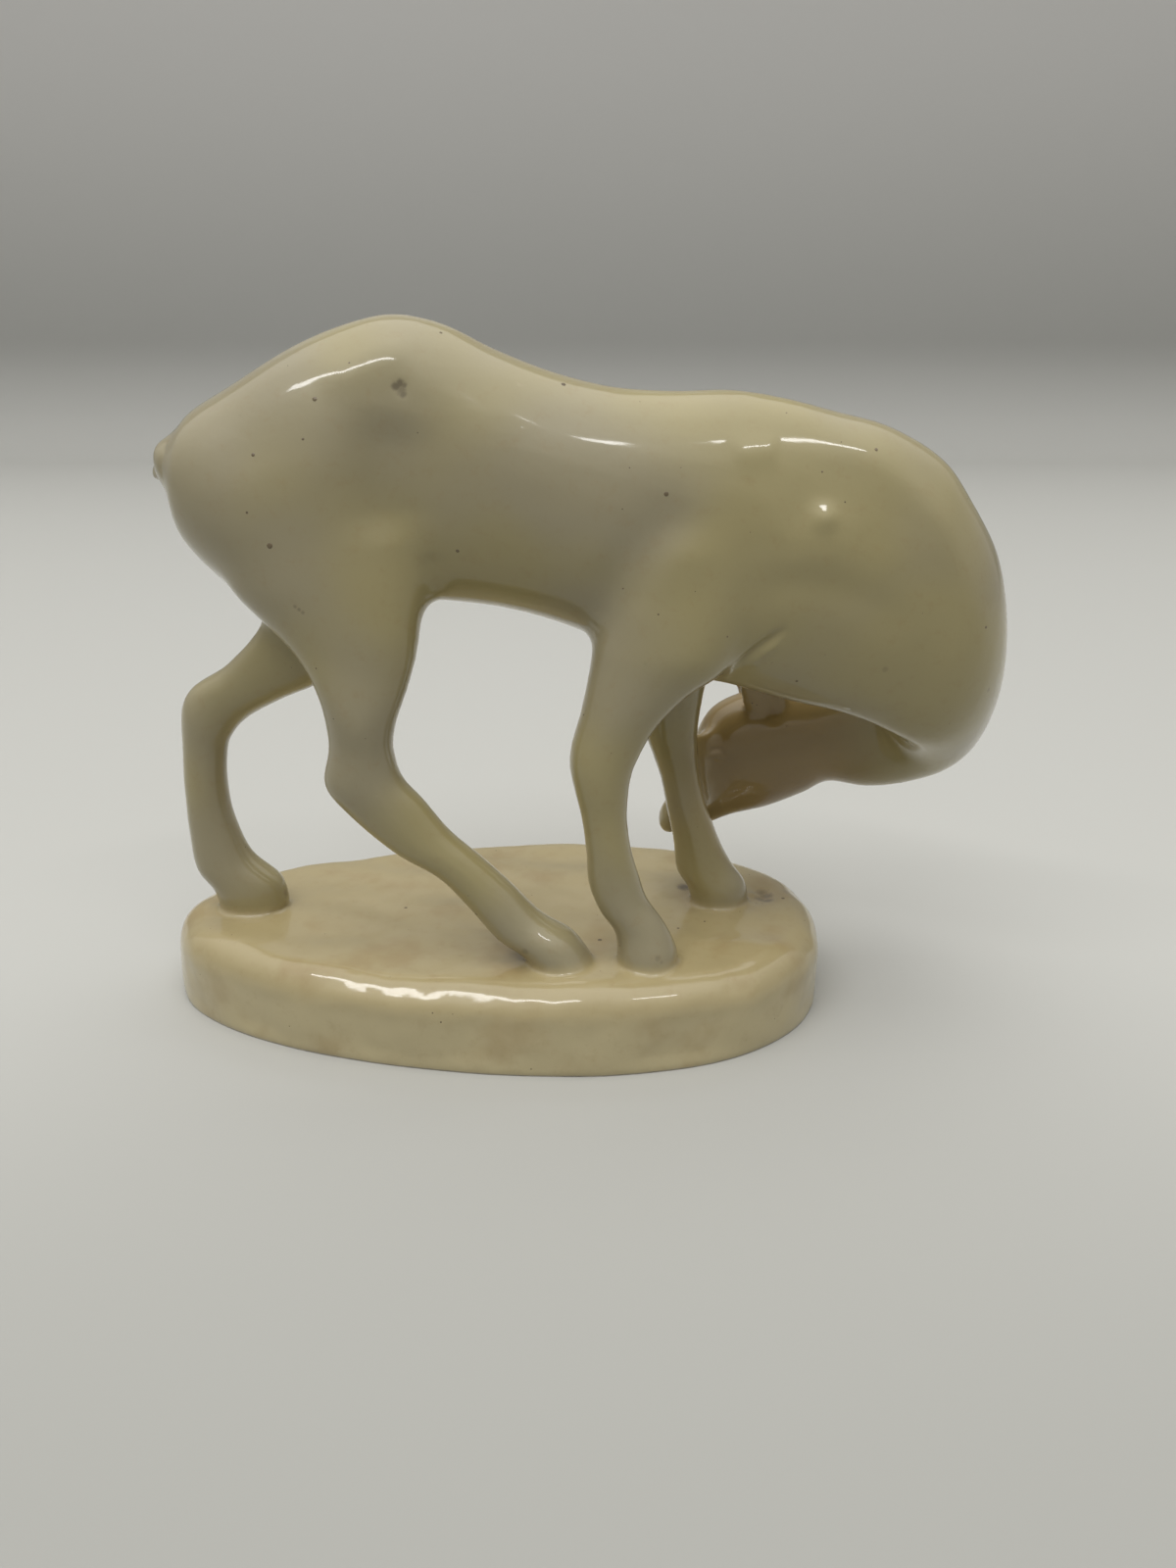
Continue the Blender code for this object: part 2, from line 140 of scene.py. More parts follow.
def back_and_neck():
    """Rump, back and chest, the neck's half turn, and the head that comes back beside the foreleg."""
    line = BODY_LINE
    return [
        section((-58.7, 107), (-60.3, 95.2), line, 0.44 * RUMP_WIDTH),
        section((-55.5, 111.5), (-58.5, 87), line, 0.66 * RUMP_WIDTH),
        section((-47.5, 116.5), (-51.5, 79), line, 0.88 * RUMP_WIDTH, -0.05),
        section((-36.5, 122.5), (-43, 72), line, RUMP_WIDTH, -0.08),
        section((-25.5, 127), (-30, 72), line, 0.98 * RUMP_WIDTH, -0.08),
        section((-16, 129), (-18.5, 75.5), line, 0.98 * LOIN_WIDTH, 0.04),
        section((-6.5, 127.3), (-9, 75), line, LOIN_WIDTH),
        section((4, 122.6), (3, 73.7), line, 0.96 * CHEST_WIDTH),
        section((15, 118.6), (15, 70.6), line, CHEST_WIDTH, -0.03),
        section((26.5, 116), (27, 65.3), line, CHEST_WIDTH, -0.03),
        section((38, 115.3), (39, 60), line, 0.97 * CHEST_WIDTH),
        section((48.5, 115.6), (50, 57.5), line, 0.92 * CHEST_WIDTH),
        section((58.5, 114.2), (57, 55.5), line, 1.18 * NECK_WIDTH),
        section((68.5, 111.7), (64.5, 53.5), line, 1.12 * NECK_WIDTH),
        section((80, 108.6), (73, 51.5), line, 1.06 * NECK_WIDTH),
        section((91, 102), (82, 48), line + 1, 1.02 * NECK_WIDTH, -0.05),
        Section((98.3, -8, 91.5), (91.5, -10, 42.5), NECK_WIDTH, -0.12),
        Section((97.4, 2, 85), (99.6, -1, 34.2), 0.96 * NECK_WIDTH, -0.14),
        Section((94, 10.5, 72), (97, 8, 28.4), 0.92 * NECK_WIDTH, -0.08),
        Section((86, 15, 60), (87.5, 13, 25.4), 0.86 * NECK_WIDTH, 0.0),
        section((76, 52.5), (77.5, 26.2), HEAD_LINE, HEAD_WIDTH),
        section((62, 49.3), (74, 23.8), HEAD_LINE, HEAD_WIDTH, 0.1),
        section((50.4, 44.3), (64, 19.6), HEAD_LINE, 0.94 * HEAD_WIDTH, 0.12),
        section((45.6, 35.2), (55, 17.5), HEAD_LINE - 0.5, 0.72 * HEAD_WIDTH),
        section((42.5, 27), (47, 14.4), HEAD_LINE - 1, 0.58 * HEAD_WIDTH),
        section((39.2, 20), (41.5, 13.5), HEAD_LINE - 1.5, 0.42 * HEAD_WIDTH),
    ]


print("body and neck:", len(back_and_neck()), "sections")

# %% [markdown]
# The four legs are laid out in the same way. They start wide and deep inside the body, so that the
# shoulder and the haunch swell out of it instead of being stuck on, and they end a little below the
# plinth's top, which roots the hooves in the clay. The two legs on the side that is seen stand on the
# near track.

# %% Sections of the hind legs
def near_hind_leg():
    """Thigh, hock and the long shank that slants forward under the belly. First point is the front."""
    line = NEAR_TRACK
    return [
        section((-18, 108), (-46, 111), line + 9, 0.8 * THIGH_WIDTH),
        section((-14, 95), (-51, 93), line + 6.5, THIGH_WIDTH),
        section((-11, 79), (-49.5, 80), line + 4.5, 0.94 * THIGH_WIDTH),
        section((-11.5, 70), (-41, 71), line + 2.5, 0.76 * THIGH_WIDTH),
        section((-14.5, 60), (-36, 65.5), line + 1, 0.62 * THIGH_WIDTH),
        section((-17.5, 52), (-32, 57), line, 1.15 * HOCK_WIDTH),
        section((-18, 46.5), (-31, 48), line, HOCK_WIDTH),
        section((-16.5, 41), (-32.4, 40), line, HOCK_WIDTH),
        section((-12.5, 36), (-28, 33.5), line, 1.08 * CANNON_WIDTH),
        section((-7.5, 29.5), (-19, 25), line, CANNON_WIDTH),
        section((-1.5, 24), (-10.5, 19.5), line, 0.96 * CANNON_WIDTH),
        section((4.5, 18), (-4.5, 13), line, CANNON_WIDTH),
        section((11, 11), (1.5, 5.5), line - 0.3, 1.2 * CANNON_WIDTH),
        section((18, 6.5), (7, 1.5), line - 0.8, 1.14 * HOOF_WIDTH),
        section((22.5, 0), (9.5, -ROOT_DEPTH), line - 1.2, 1.25 * HOOF_WIDTH),
    ]


def far_hind_leg():
    """The other hind leg, stretched back."""
    line = FAR_HIND_TRACK
    return [
        section((-18, 106), (-46, 109), line - 9, 0.8 * THIGH_WIDTH),
        section((-14, 92), (-51, 92), line - 7, THIGH_WIDTH),
        section((-14, 76), (-50, 80), line - 5.5, 0.92 * THIGH_WIDTH),
        section((-25, 63), (-48, 74), line - 4, 0.72 * THIGH_WIDTH),
        section((-36, 55.5), (-48.5, 68), line - 3, 0.6 * THIGH_WIDTH),
        section((-45, 51.5), (-57.5, 58.5), line - 1, 1.1 * HOCK_WIDTH),
        section((-54, 46.5), (-64.8, 54), line, HOCK_WIDTH),
        section((-58, 42.5), (-68.4, 49), line, HOCK_WIDTH),
        section((-59.7, 38.5), (-69.4, 39.5), line, CANNON_WIDTH),
        section((-60.5, 30.5), (-70, 30.5), line, CANNON_WIDTH),
        section((-59.5, 22), (-70.3, 21), line, CANNON_WIDTH),
        section((-56.5, 13.5), (-69.5, 10.5), line, 1.1 * CANNON_WIDTH),
        section((-50.5, 7.5), (-66, 4.5), line, HOOF_WIDTH),
        section((-49, 2), (-64.8, -ROOT_DEPTH), line, HOOF_WIDTH),
    ]


print("hind legs:", len(near_hind_leg()), "and", len(far_hind_leg()), "sections")


# %% Sections of the forelegs
def near_fore_leg():
    """Shoulder and the upright foreleg on the side that is seen."""
    line = NEAR_TRACK
    return [
        section((58, 101), (40, 103), line + 10, 0.8 * SHOULDER_WIDTH),
        section((58, 88), (32, 90), line + 7.5, SHOULDER_WIDTH),
        section((55, 75), (25.5, 79.5), line + 5.5, SHOULDER_WIDTH),
        section((49, 63.5), (22, 69), line + 3, 0.9 * SHOULDER_WIDTH),
        section((41, 58), (21, 62.5), line + 1.5, 0.72 * SHOULDER_WIDTH),
        section((35, 52), (19.5, 55), line + 0.5, 1.12 * KNEE_WIDTH),
        section((31.5, 46), (17.8, 49), line, KNEE_WIDTH),
        section((30, 42.3), (17.3, 43.9), line, KNEE_WIDTH),
        section((29.2, 37.6), (18.2, 38.9), line, 0.95 * KNEE_WIDTH),
        section((29, 32.1), (19.6, 32.7), line, CANNON_WIDTH),
        section((29.9, 25.5), (20.6, 25.1), line, CANNON_WIDTH),
        section((31.6, 19.5), (21, 18.4), line, CANNON_WIDTH),
        section((33.5, 14), (23.3, 11.9), line, 1.06 * CANNON_WIDTH),
        section((37.5, 8), (26.8, 6.5), line - 0.3, 1.14 * CANNON_WIDTH),
        section((40, 2), (27.3, 0), line - 0.8, 1.18 * HOOF_WIDTH),
        section((39.5, -ROOT_DEPTH), (27.5, -ROOT_DEPTH), line - 0.8, 1.22 * HOOF_WIDTH),
    ]


def far_fore_leg():
    """The other foreleg, set a little forward, that the muzzle lies against."""
    line = FAR_FORE_TRACK
    return [
        section((58, 96), (36, 98), line - 12, 0.8 * SHOULDER_WIDTH),
        section((56, 80), (30, 80), line - 9, SHOULDER_WIDTH),
        section((51, 66), (29, 64), line - 5.5, 0.84 * SHOULDER_WIDTH),
        section((47.2, 55.5), (31.8, 53.3), line - 2.5, 1.15 * KNEE_WIDTH),
        section((45.7, 45.1), (33, 44), line - 1, KNEE_WIDTH),
        section((45.8, 38.6), (35.2, 37.6), line, 0.96 * KNEE_WIDTH),
        section((46.8, 30.1), (37.6, 30.6), line, CANNON_WIDTH),
        section((48.3, 23.9), (39.1, 24.1), line, CANNON_WIDTH),
        section((51.8, 15.3), (40.8, 16.1), line, CANNON_WIDTH),
        section((55, 9.4), (41.7, 8.6), line, 1.06 * CANNON_WIDTH),
        section((58, 5.0), (44.6, 3.6), line, HOOF_WIDTH),
        section((59, 0), (45.4, -ROOT_DEPTH), line, HOOF_WIDTH),
    ]


print("forelegs:", len(near_fore_leg()), "and", len(far_fore_leg()), "sections")


# %% Sections of the tail and the ears
def tail():
    """A short tail laid down against the rump."""
    line = BODY_LINE
    return [
        section((-56, 110.4), (-51.5, 105), line, 0.8 * TAIL_WIDTH),
        section((-60.2, 107.2), (-55.5, 103), line, TAIL_WIDTH),
        section((-63.2, 103.3), (-59.3, 100.8), line, 0.9 * TAIL_WIDTH),
        section((-64.3, 100.2), (-61, 99), line, 0.6 * TAIL_WIDTH),
    ]


def ear(side):
    """One ear, a short leaf laid back from the head beside the neck. side is -1 near, +1 far."""
    root = HEAD_LINE + side * 0.24 * HEAD_WIDTH
    tip = HEAD_LINE + side * 0.46 * HEAD_WIDTH
    return [
        section((58.5, 39), (68, 39), root, 1.3 * EAR_THICKNESS),
        section((57, 45), (67, 46.5), (2 * root + tip) / 3, EAR_THICKNESS),
        section((55.3, 51.5), (64.5, 54), (root + 2 * tip) / 3, 0.9 * EAR_THICKNESS),
        section((56, 57.5), (60, 59), tip, 0.6 * EAR_THICKNESS),
    ]


print("tail and ears:", len(tail()) + 2 * len(ear(-1)), "sections")

# %% [markdown]
# A loft turns the sections into skin. Between each two, more are added along a smooth curve (a
# Catmull-Rom curve, which passes through every section and takes its slope from the neighbours on both
# sides). Each one becomes a ring of points, and the ends are closed with small domes.

# %% Loft a tube through sections
RING_POINTS = 32
RINGS_BETWEEN = 6
DOME_RINGS = 3


def blend(p0, p1, p2, p3, t):
    """Smooth curve through p1 and p2 that takes its slopes from p0 and p3."""
    slope_in = 0.5 * (p2 - p0)
    slope_out = 0.5 * (p3 - p1)
    rise = 2 * t ** 3 - 3 * t ** 2
    return (1 + rise) * p1 + (t ** 3 - 2 * t ** 2 + t) * slope_in - rise * p2 + (t ** 3 - t ** 2) * slope_out


def smooth_run(sections):
    """The sections as rows of numbers, with smooth ones added between each two."""
    rows = [np.array([*s.over, *s.under, s.width, s.egg]) for s in sections]
    rows = [2 * rows[0] - rows[1], *rows, 2 * rows[-1] - rows[-2]]
    run = []
    for index in range(1, len(rows) - 2):
        for step in range(RINGS_BETWEEN):
            run.append(blend(*rows[index - 1:index + 3], step / RINGS_BETWEEN))
    run.append(rows[-2])
    return run


def ring_points(centre, upward, across, egg):
    """Points of one oval ring, in millimetres."""
    points = []
    for step in range(RING_POINTS):
        turn = 2 * pi * step / RING_POINTS
        points.append(centre + upward * sin(turn) + across * cos(turn) * (1 + egg * sin(turn)))
    return points


def loft(mesh, sections, dome=0.5, first=0, last=None):
    """Add a closed tube to the mesh, from the first section to the last. dome is how far its ends bulge."""
    run = smooth_run(sections)
    run = run[first * RINGS_BETWEEN:] if last is None else run[first * RINGS_BETWEEN:last * RINGS_BETWEEN + 1]
    over = [Vector(row[0:3]) for row in run]
    under = [Vector(row[3:6]) for row in run]
    middle = [(a + b) / 2 for a, b in zip(over, under)]
    ends = []
    body = []
    for index, row in enumerate(run):
        forward = middle[min(index + 1, len(run) - 1)] - middle[max(index - 1, 0)]
        forward.normalize()
        upward = (over[index] - under[index]) / 2
        across = forward.cross(upward).normalized() * row[6] / 2
        body.append(ring_points(middle[index], upward, across, row[7]))
        if index in (0, len(run) - 1):
            ends.append((middle[index], upward, across, forward, row[7]))
    for (centre, upward, across, forward, egg), outward in zip(ends, (-1, 1)):
        reach = outward * dome * min(upward.length, across.length)
        tucked = []
        for step in range(1, DOME_RINGS + 1):
            turn = step * pi / 2 / (DOME_RINGS + 1)
            place = centre + forward * reach * sin(turn)
            tucked.append(ring_points(place, upward * cos(turn), across * cos(turn), egg))
        tucked.append([centre + forward * reach])
        body = tucked[::-1] + body if outward < 0 else body + tucked
    rings = [[mesh.verts.new(point * MM) for point in points] for points in body]
    for lower, upper in zip(rings[1:-1], rings[2:-1]):
        for step in range(RING_POINTS):
            after = (step + 1) % RING_POINTS
            mesh.faces.new((lower[step], lower[after], upper[after], upper[step]))
    for step in range(RING_POINTS):
        after = (step + 1) % RING_POINTS
        mesh.faces.new((rings[0][0], rings[1][after], rings[1][step]))
        mesh.faces.new((rings[-1][0], rings[-2][step], rings[-2][after]))


print("each tube has", RING_POINTS, "points a ring and", RINGS_BETWEEN, "rings a section")

# %% [markdown]
# The plinth could be a cylinder with a bevel, but its outline is no circle and its upper edge is a
# quarter round whose radius stays the same all the way along. A stack of ovals, each with its own inset,
# gives both.

# %% Plinth as stacked ovals
OVAL_POINTS = 144
EDGE_RINGS = 10


def plinth_outline(inset):
    """The oval at that inset from the plinth's wall, as x, y in millimetres."""
    half_length = PLINTH_LENGTH / 2 - inset
    half_depth = PLINTH_DEPTH / 2 - inset
    points = []
    for step in range(OVAL_POINTS):
        turn = 2 * pi * step / OVAL_POINTS
        x = copysign(abs(cos(turn)) ** (2 / PLINTH_SQUARENESS), cos(turn))
        y = copysign(abs(sin(turn)) ** (2 / PLINTH_SQUARENESS), sin(turn))
        points.append((half_length * x, half_depth * y * (1 + PLINTH_BLUNTNESS * x)))
    return points


def add_plinth(mesh):
    """Stacked ovals, measured down from the fawn's ground and on below the underside, for the last cut."""
    levels = [(-PLINTH_HEIGHT - ROOT_DEPTH, PLINTH_FOOT_EDGE), (-PLINTH_HEIGHT, PLINTH_FOOT_EDGE)]
    levels.append((-PLINTH_HEIGHT + PLINTH_FOOT_EDGE, 0.1))
    levels.append((-PLINTH_HEIGHT * 0.6, 0.0))
    for step in range(EDGE_RINGS + 1):
        turn = step * pi / 2 / EDGE_RINGS
        levels.append((-PLINTH_TOP_EDGE * (1 - sin(turn)), PLINTH_TOP_EDGE * (1 - cos(turn))))
    stack = []
    for height, inset in levels:
        stack.append([mesh.verts.new(Vector((x, y, height)) * MM) for x, y in plinth_outline(inset)])
    for lower, upper in zip(stack, stack[1:]):
        for step in range(OVAL_POINTS):
            after = (step + 1) % OVAL_POINTS
            mesh.faces.new((lower[step], lower[after], upper[after], upper[step]))
    mesh.faces.new(stack[0])
    mesh.faces.new(stack[-1])


print("plinth edge rounded over", PLINTH_TOP_EDGE, "mm in", EDGE_RINGS, "steps")

# %% [markdown]
# Overlapping tubes aren't a fawn yet. A voxel remesh wraps one skin round all of them, and smoothing then
# does what a wet sponge does on clay. Plain smoothing shrinks thin legs, so each pass that pulls the
# points in is followed by one that pushes them back out (Taubin's way). The work is done on arrays of
# points, because a loop in Python over two hundred thousand points would take minutes.

# %% Smoothing on arrays
Links = namedtuple("Links", "first second count")


def read_mesh(mesh):
    """The mesh's points in metres, and which of them are joined."""
    points = np.empty(len(mesh.vertices) * 3)
    mesh.vertices.foreach_get("co", points)
    edges = np.empty(len(mesh.edges) * 2, dtype=np.int32)
    mesh.edges.foreach_get("vertices", edges)
    first, second = edges.reshape(-1, 2).T
    size = len(mesh.vertices)
    count = np.bincount(first, minlength=size) + np.bincount(second, minlength=size)
    return points.reshape(-1, 3), Links(first, second, count)


def read_normals(mesh):
    """The way the surface faces at each point of the mesh."""
    normals = np.empty(len(mesh.vertices) * 3)
    mesh.vertices.foreach_get("normal", normals)
    return normals.reshape(-1, 3)


def to_neighbours(values, links):
    """From each row of values to the mean of the rows it is joined to."""
    total = np.zeros_like(values)
    for column in range(values.shape[1]):
        total[:, column] += np.bincount(links.first, values[links.second, column], len(values))
        total[:, column] += np.bincount(links.second, values[links.first, column], len(values))
    return total / links.count[:, None] - values


def write_mesh(mesh, points):
    mesh.vertices.foreach_set("co", points.ravel())
    mesh.update()


def smoothed(mesh, passes):
    points, links = read_mesh(mesh)
    for pull in (0.5, -0.52) * passes:
        points = points + pull * to_neighbours(points, links)
    write_mesh(mesh, points)


def soften(mesh, places):
    """Let the surface flow near each place, most at its middle and not at all at its reach."""
    points, links = read_mesh(mesh)
    for (x, y, z), reach, passes in places:
        away = np.linalg.norm(points / MM - (x, y, z + PLINTH_HEIGHT), axis=1) / reach
        share = np.clip(1 - away, 0, 1)[:, None]
        share = 0.5 * share * share * (3 - 2 * share)
        for _ in range(passes):
            points = points + share * to_neighbours(points, links)
    write_mesh(mesh, points)


print("smoothing ready")


# %% Skin, fillet and joining
def evaluated(thing):
    """The object's mesh with its modifiers worked in, as a mesh of its own."""
    graph = bpy.context.evaluated_depsgraph_get()
    return bpy.data.meshes.new_from_object(thing.evaluated_get(graph))


def settle(thing, passes):
    """Work the modifiers in and smooth what they leave."""
    thing.data = evaluated(thing)
    thing.modifiers.clear()
    smoothed(thing.data, passes)


def fuse(thing, voxel, passes):
    """One skin over all the shapes that the mesh holds."""
    skin = thing.modifiers.new("skin", "REMESH")
    skin.mode = "VOXEL"
    skin.voxel_size = voxel * MM
    settle(thing, passes)


def fillet(thing, radius, voxel):
    """Round out every inner corner: swell the skin by the radius, fuse it again and shrink it back."""
    for reach in (radius, -radius):
        swell = thing.modifiers.new("swell", "DISPLACE")
        swell.mid_level = 0.0
        swell.strength = reach * MM
        fuse(thing, voxel, 3)


def add_forms(thing, build):
    """Run build on a new mesh, face it outwards and join it to what the object's mesh already holds."""
    forms = bmesh.new()
    build(forms)
    bmesh.ops.recalc_face_normals(forms, faces=forms.faces)
    bmesh.ops.translate(forms, verts=forms.verts, vec=(0, 0, PLINTH_HEIGHT * MM))
    forms.from_mesh(thing.data)
    forms.to_mesh(thing.data)
    forms.free()


print("skin tools ready")

# %% [markdown]
# The clay is built in two stages. The body and the upper legs are fused first, with wide fillets where
# they meet, and the haunch, the arm and the brisket are softened further, because there one muscle runs
# over into the next with no line at all. The lower legs, the tail, the ears and the plinth come after, so
# that the wide fillets don't web them together. The last skin is finer, for the small forms that follow.

# %% Build the clay form
BODY_VOXEL = 1.0
FINE_VOXEL = 0.62
BODY_PASSES = 40
FINE_PASSES = 24
JOINT_FILLET = 3.2
LEG_SPLIT = 6


def soft_places():
    """Where one muscle runs over into the next: each place's middle, its reach and its passes."""
    haunch = ((-33, 17, 95), 27, 90)
    stifle = ((-16, 15, 78), 15, 40)
    arm = ((37, 17, 84), 21, 60)
    brisket = ((56, 14, 70), 14, 40)
    flank = ((-11, 12, 73), 9, 24)
    throat = ((88, -4, 42), 10, 50)
    places = [throat]
    for side in (-1, 1):
        for (x, across, z), reach, passes in (haunch, stifle, arm, brisket, flank):
            places.append(((x, BODY_LINE + side * across, z), reach, passes))
    return places


def legs():
    return near_hind_leg(), far_hind_leg(), near_fore_leg(), far_fore_leg()


def body_forms(mesh):
    """The body with the upper half of each leg: what runs together in wide soft corners."""
    loft(mesh, back_and_neck(), dome=0.8)
    for leg in legs():
        loft(mesh, leg, last=LEG_SPLIT + 1)


def fine_forms(mesh):
    """What keeps its own crisper edges: lower legs with their hooves, tail, ears and the plinth."""
    for leg in legs():
        loft(mesh, leg, first=LEG_SPLIT)
    loft(mesh, tail(), dome=0.7)
    for side in (-1, 1):
        loft(mesh, ear(side))
    add_plinth(mesh)


clay = bpy.data.objects.new("glazed_fawn", bpy.data.meshes.new("glazed_fawn"))
bpy.context.scene.collection.objects.link(clay)
add_forms(clay, body_forms)
fuse(clay, BODY_VOXEL, BODY_PASSES)
fillet(clay, JOINT_FILLET, BODY_VOXEL)
soften(clay.data, soft_places())
add_forms(clay, fine_forms)
fuse(clay, FINE_VOXEL, FINE_PASSES)
print("clay form:", len(clay.data.vertices), "points")

# %% [markdown]
# So far the fawn has its masses but not its modelling. The maker's tool drew a few strokes into the clay:
# the hollow of the flank, the edge over the haunch, the fold where the shoulder meets the neck. A stroke
# here is a path over the surface, a breadth and a depth, and it moves each point near the path along its
# own normal. The path is given by the pixels of the photograph that it passes through, and a ray through
# each pixel finds the clay. A stroke fades at both its ends, so a broad hollow or swelling is given as
# one single place, which is pressed evenly all round.

# %% Find a place on the clay from a pixel of the photograph
def clay_tree(thing):
    """A search tree over the surface, for rays and for nearest points."""
    corners = [vertex.co for vertex in thing.data.vertices]
    return BVHTree.FromPolygons(corners, [face.vertices for face in thing.data.polygons])


def seen_at(pixel):
    """The point, in metres, that the camera sees at a pixel. A near miss is drawn to the nearest clay."""
    right = (pixel[0] - PICTURE_WIDTH / 2) / FOCAL_PIXELS
    up = (PICTURE_HEIGHT / 2 - pixel[1]) / FOCAL_PIXELS
    ray = camera.matrix_basis.to_3x3() @ Vector((right, up, -1))
    found = surface.ray_cast(CAMERA_PLACE, ray.normalized())[0]
    if found is None:
        beside = CAMERA_PLACE + ray * ((BODY_LINE * MM - CAMERA_PLACE.y) / ray.y)
        found = surface.find_nearest(beside)[0]
    return found


def on_far_side(point, line):
    """The place that lies opposite, across the upright plane y = line, drawn to the nearest clay."""
    across = Vector((point.x, 2 * line * MM - point.y, point.z))
    return surface.find_nearest(across)[0]


surface = clay_tree(clay)
print("the camera sees the haunch at", [round(v / MM, 1) for v in seen_at((300, 480))], "mm")

# %% Strokes of the modelling tool
Stroke = namedtuple("Stroke", "path breadth depth")
STROKE_REACH = 3
FADE_SHARE = 0.3
TINY_STEP = Vector((1e-6, 0, 0))


def away_from_path(points, path):
    """For each point, its distance to the path and the share of the path's length at which it is nearest."""
    nearest = np.full(len(points), np.inf)
    share = np.zeros(len(points))
    steps = [np.array(b - a) for a, b in zip(path, path[1:])]
    lengths = [np.linalg.norm(step) for step in steps]
    gone = 0.0
    for start, step, length in zip(path, steps, lengths):
        offset = points - np.array(start)
        reach = np.clip(offset @ step / length ** 2, 0, 1)
        away = np.linalg.norm(offset - reach[:, None] * step, axis=1)
        closer = away < nearest
        nearest[closer] = away[closer]
        share[closer] = (gone + reach[closer] * length) / sum(lengths)
        gone += length
    return nearest, share


def curved(path, steps=6):
    """The path with smooth points added between each two of its own."""
    rows = [np.array(point) for point in path]
    rows = [2 * rows[0] - rows[1], *rows, 2 * rows[-1] - rows[-2]]
    smooth = []
    for index in range(1, len(rows) - 2):
        for step in range(steps):
            smooth.append(Vector(blend(*rows[index - 1:index + 3], step / steps)))
    smooth.append(Vector(rows[-2]))
    return smooth


def carve(thing, strokes):
    """Press each stroke in, fading at both ends. A negative depth draws clay up into a ridge."""
    points = read_mesh(thing.data)[0]
    normals = read_normals(thing.data)
    moved = points.copy()
    for stroke in strokes:
        lone = len(stroke.path) == 1
        path = [stroke.path[0], stroke.path[0] + TINY_STEP] if lone else curved(stroke.path)
        reach = STROKE_REACH * stroke.breadth * MM
        corners = np.array(path)
        near = np.all((points > corners.min(0) - reach) & (points < corners.max(0) + reach), axis=1)
        away, share = away_from_path(points[near], path)
        fade = 1.0 if lone else np.clip(np.minimum(share, 1 - share) / FADE_SHARE, 0, 1)
        fade = fade * fade * (3 - 2 * fade)
        height = stroke.depth * MM * fade * np.exp(-(away / (stroke.breadth * MM)) ** 2)
        moved[near] -= normals[near] * height[:, None]
    write_mesh(thing.data, moved)


print("a stroke reaches", STROKE_REACH, "times its breadth from its path")

# %% Muscles of the haunch and the shoulder
HAUNCH = [
    (((402, 414), (396, 450), (398, 505), (405, 560)), 6.5, 1.2),
    (((410, 374), ), 8.0, -0.8),
    (((318, 398), (350, 380), (395, 362), (433, 362)), 3.4, -0.45),
    (((246, 450), ), 12.0, 1.3),
    (((438, 560), (441, 585), (440, 612)), 2.6, 0.35),
]
SHOULDER = [
    (((722, 512), (668, 545), (628, 592), (603, 632)), 5.0, 0.8),
    (((742, 548), (695, 572), (655, 615), (625, 660)), 5.0, -0.7),
    (((745, 468), (770, 460), (800, 460)), 3.0, -0.35),
    (((815, 456), (850, 452), (895, 470), (955, 530), (985, 600), (998, 670)), 3.8, -0.5),
    (((775, 520), (810, 510), (870, 530), (905, 590)), 8.0, 0.4),
    (((770, 630), (795, 600), (840, 597), (890, 618), (930, 655)), 4.0, 0.45),
]


def placed(drawing, line):
    """The drawn strokes on the side that is seen, and the same ones on the far side."""
    strokes = []
    for pixels, breadth, depth in drawing:
        path = [seen_at(pixel) for pixel in pixels]
        strokes.append(Stroke(path, breadth, depth))
        strokes.append(Stroke([on_far_side(point, line) for point in path], breadth, depth))
    return strokes


muscles = placed(HAUNCH, BODY_LINE) + placed(SHOULDER, BODY_LINE)
carve(clay, muscles)
print(len(muscles), "strokes on the muscles")

# %% [markdown]
# Finer marks come after the muscles. The list of folds holds the fold between shoulder and neck, the
# crease round the tail and the press on its top, the small point on the shoulder with the soft rise below
# it, and the slight flattening of the plinth's front edge. It is worked in only on the side that is seen.
# The mouth, the eyes with their lids and the nostrils are repeated on the head's far side, which the
# photograph hides. The ears' hollows come last.

# %% Folds, tail, eyes, mouth and ears
FOLDS = [
    (((744, 684), (764, 668), (786, 652), (808, 637)), 0.9, 0.7),
    (((757, 684), (775, 670), (799, 654)), 1.0, -0.35),
    (((172, 448), (166, 464), (164, 478), (168, 492)), 0.6, 0.3),
    (((841, 529), ), 2.5, -0.8),
    (((843, 560), ), 7.0, -0.9),
    (((160, 448), ), 3.0, 1.3),
    (((283, 990), (310, 1000), (345, 1003), (385, 1010), (430, 1014), (475, 1017), (520, 1020), (562, 1022)),
     2.2, 0.36),
    (((735, 1008), (770, 1010)), 2.0, 0.25),
]
EYE = (731, 771)
EYE_BREADTH = 1.5
MOUTH = ((41.0, 9.5, 35.0), (46.0, 8.0, 36.8), (51.0, 7.5, 39.5))
NOSTRIL = (41.2, 10.0, 37.8)


def to_clay(place):
    """A place in millimetres, drawn to the nearest clay."""
    return surface.find_nearest(Vector(place) * MM)[0]


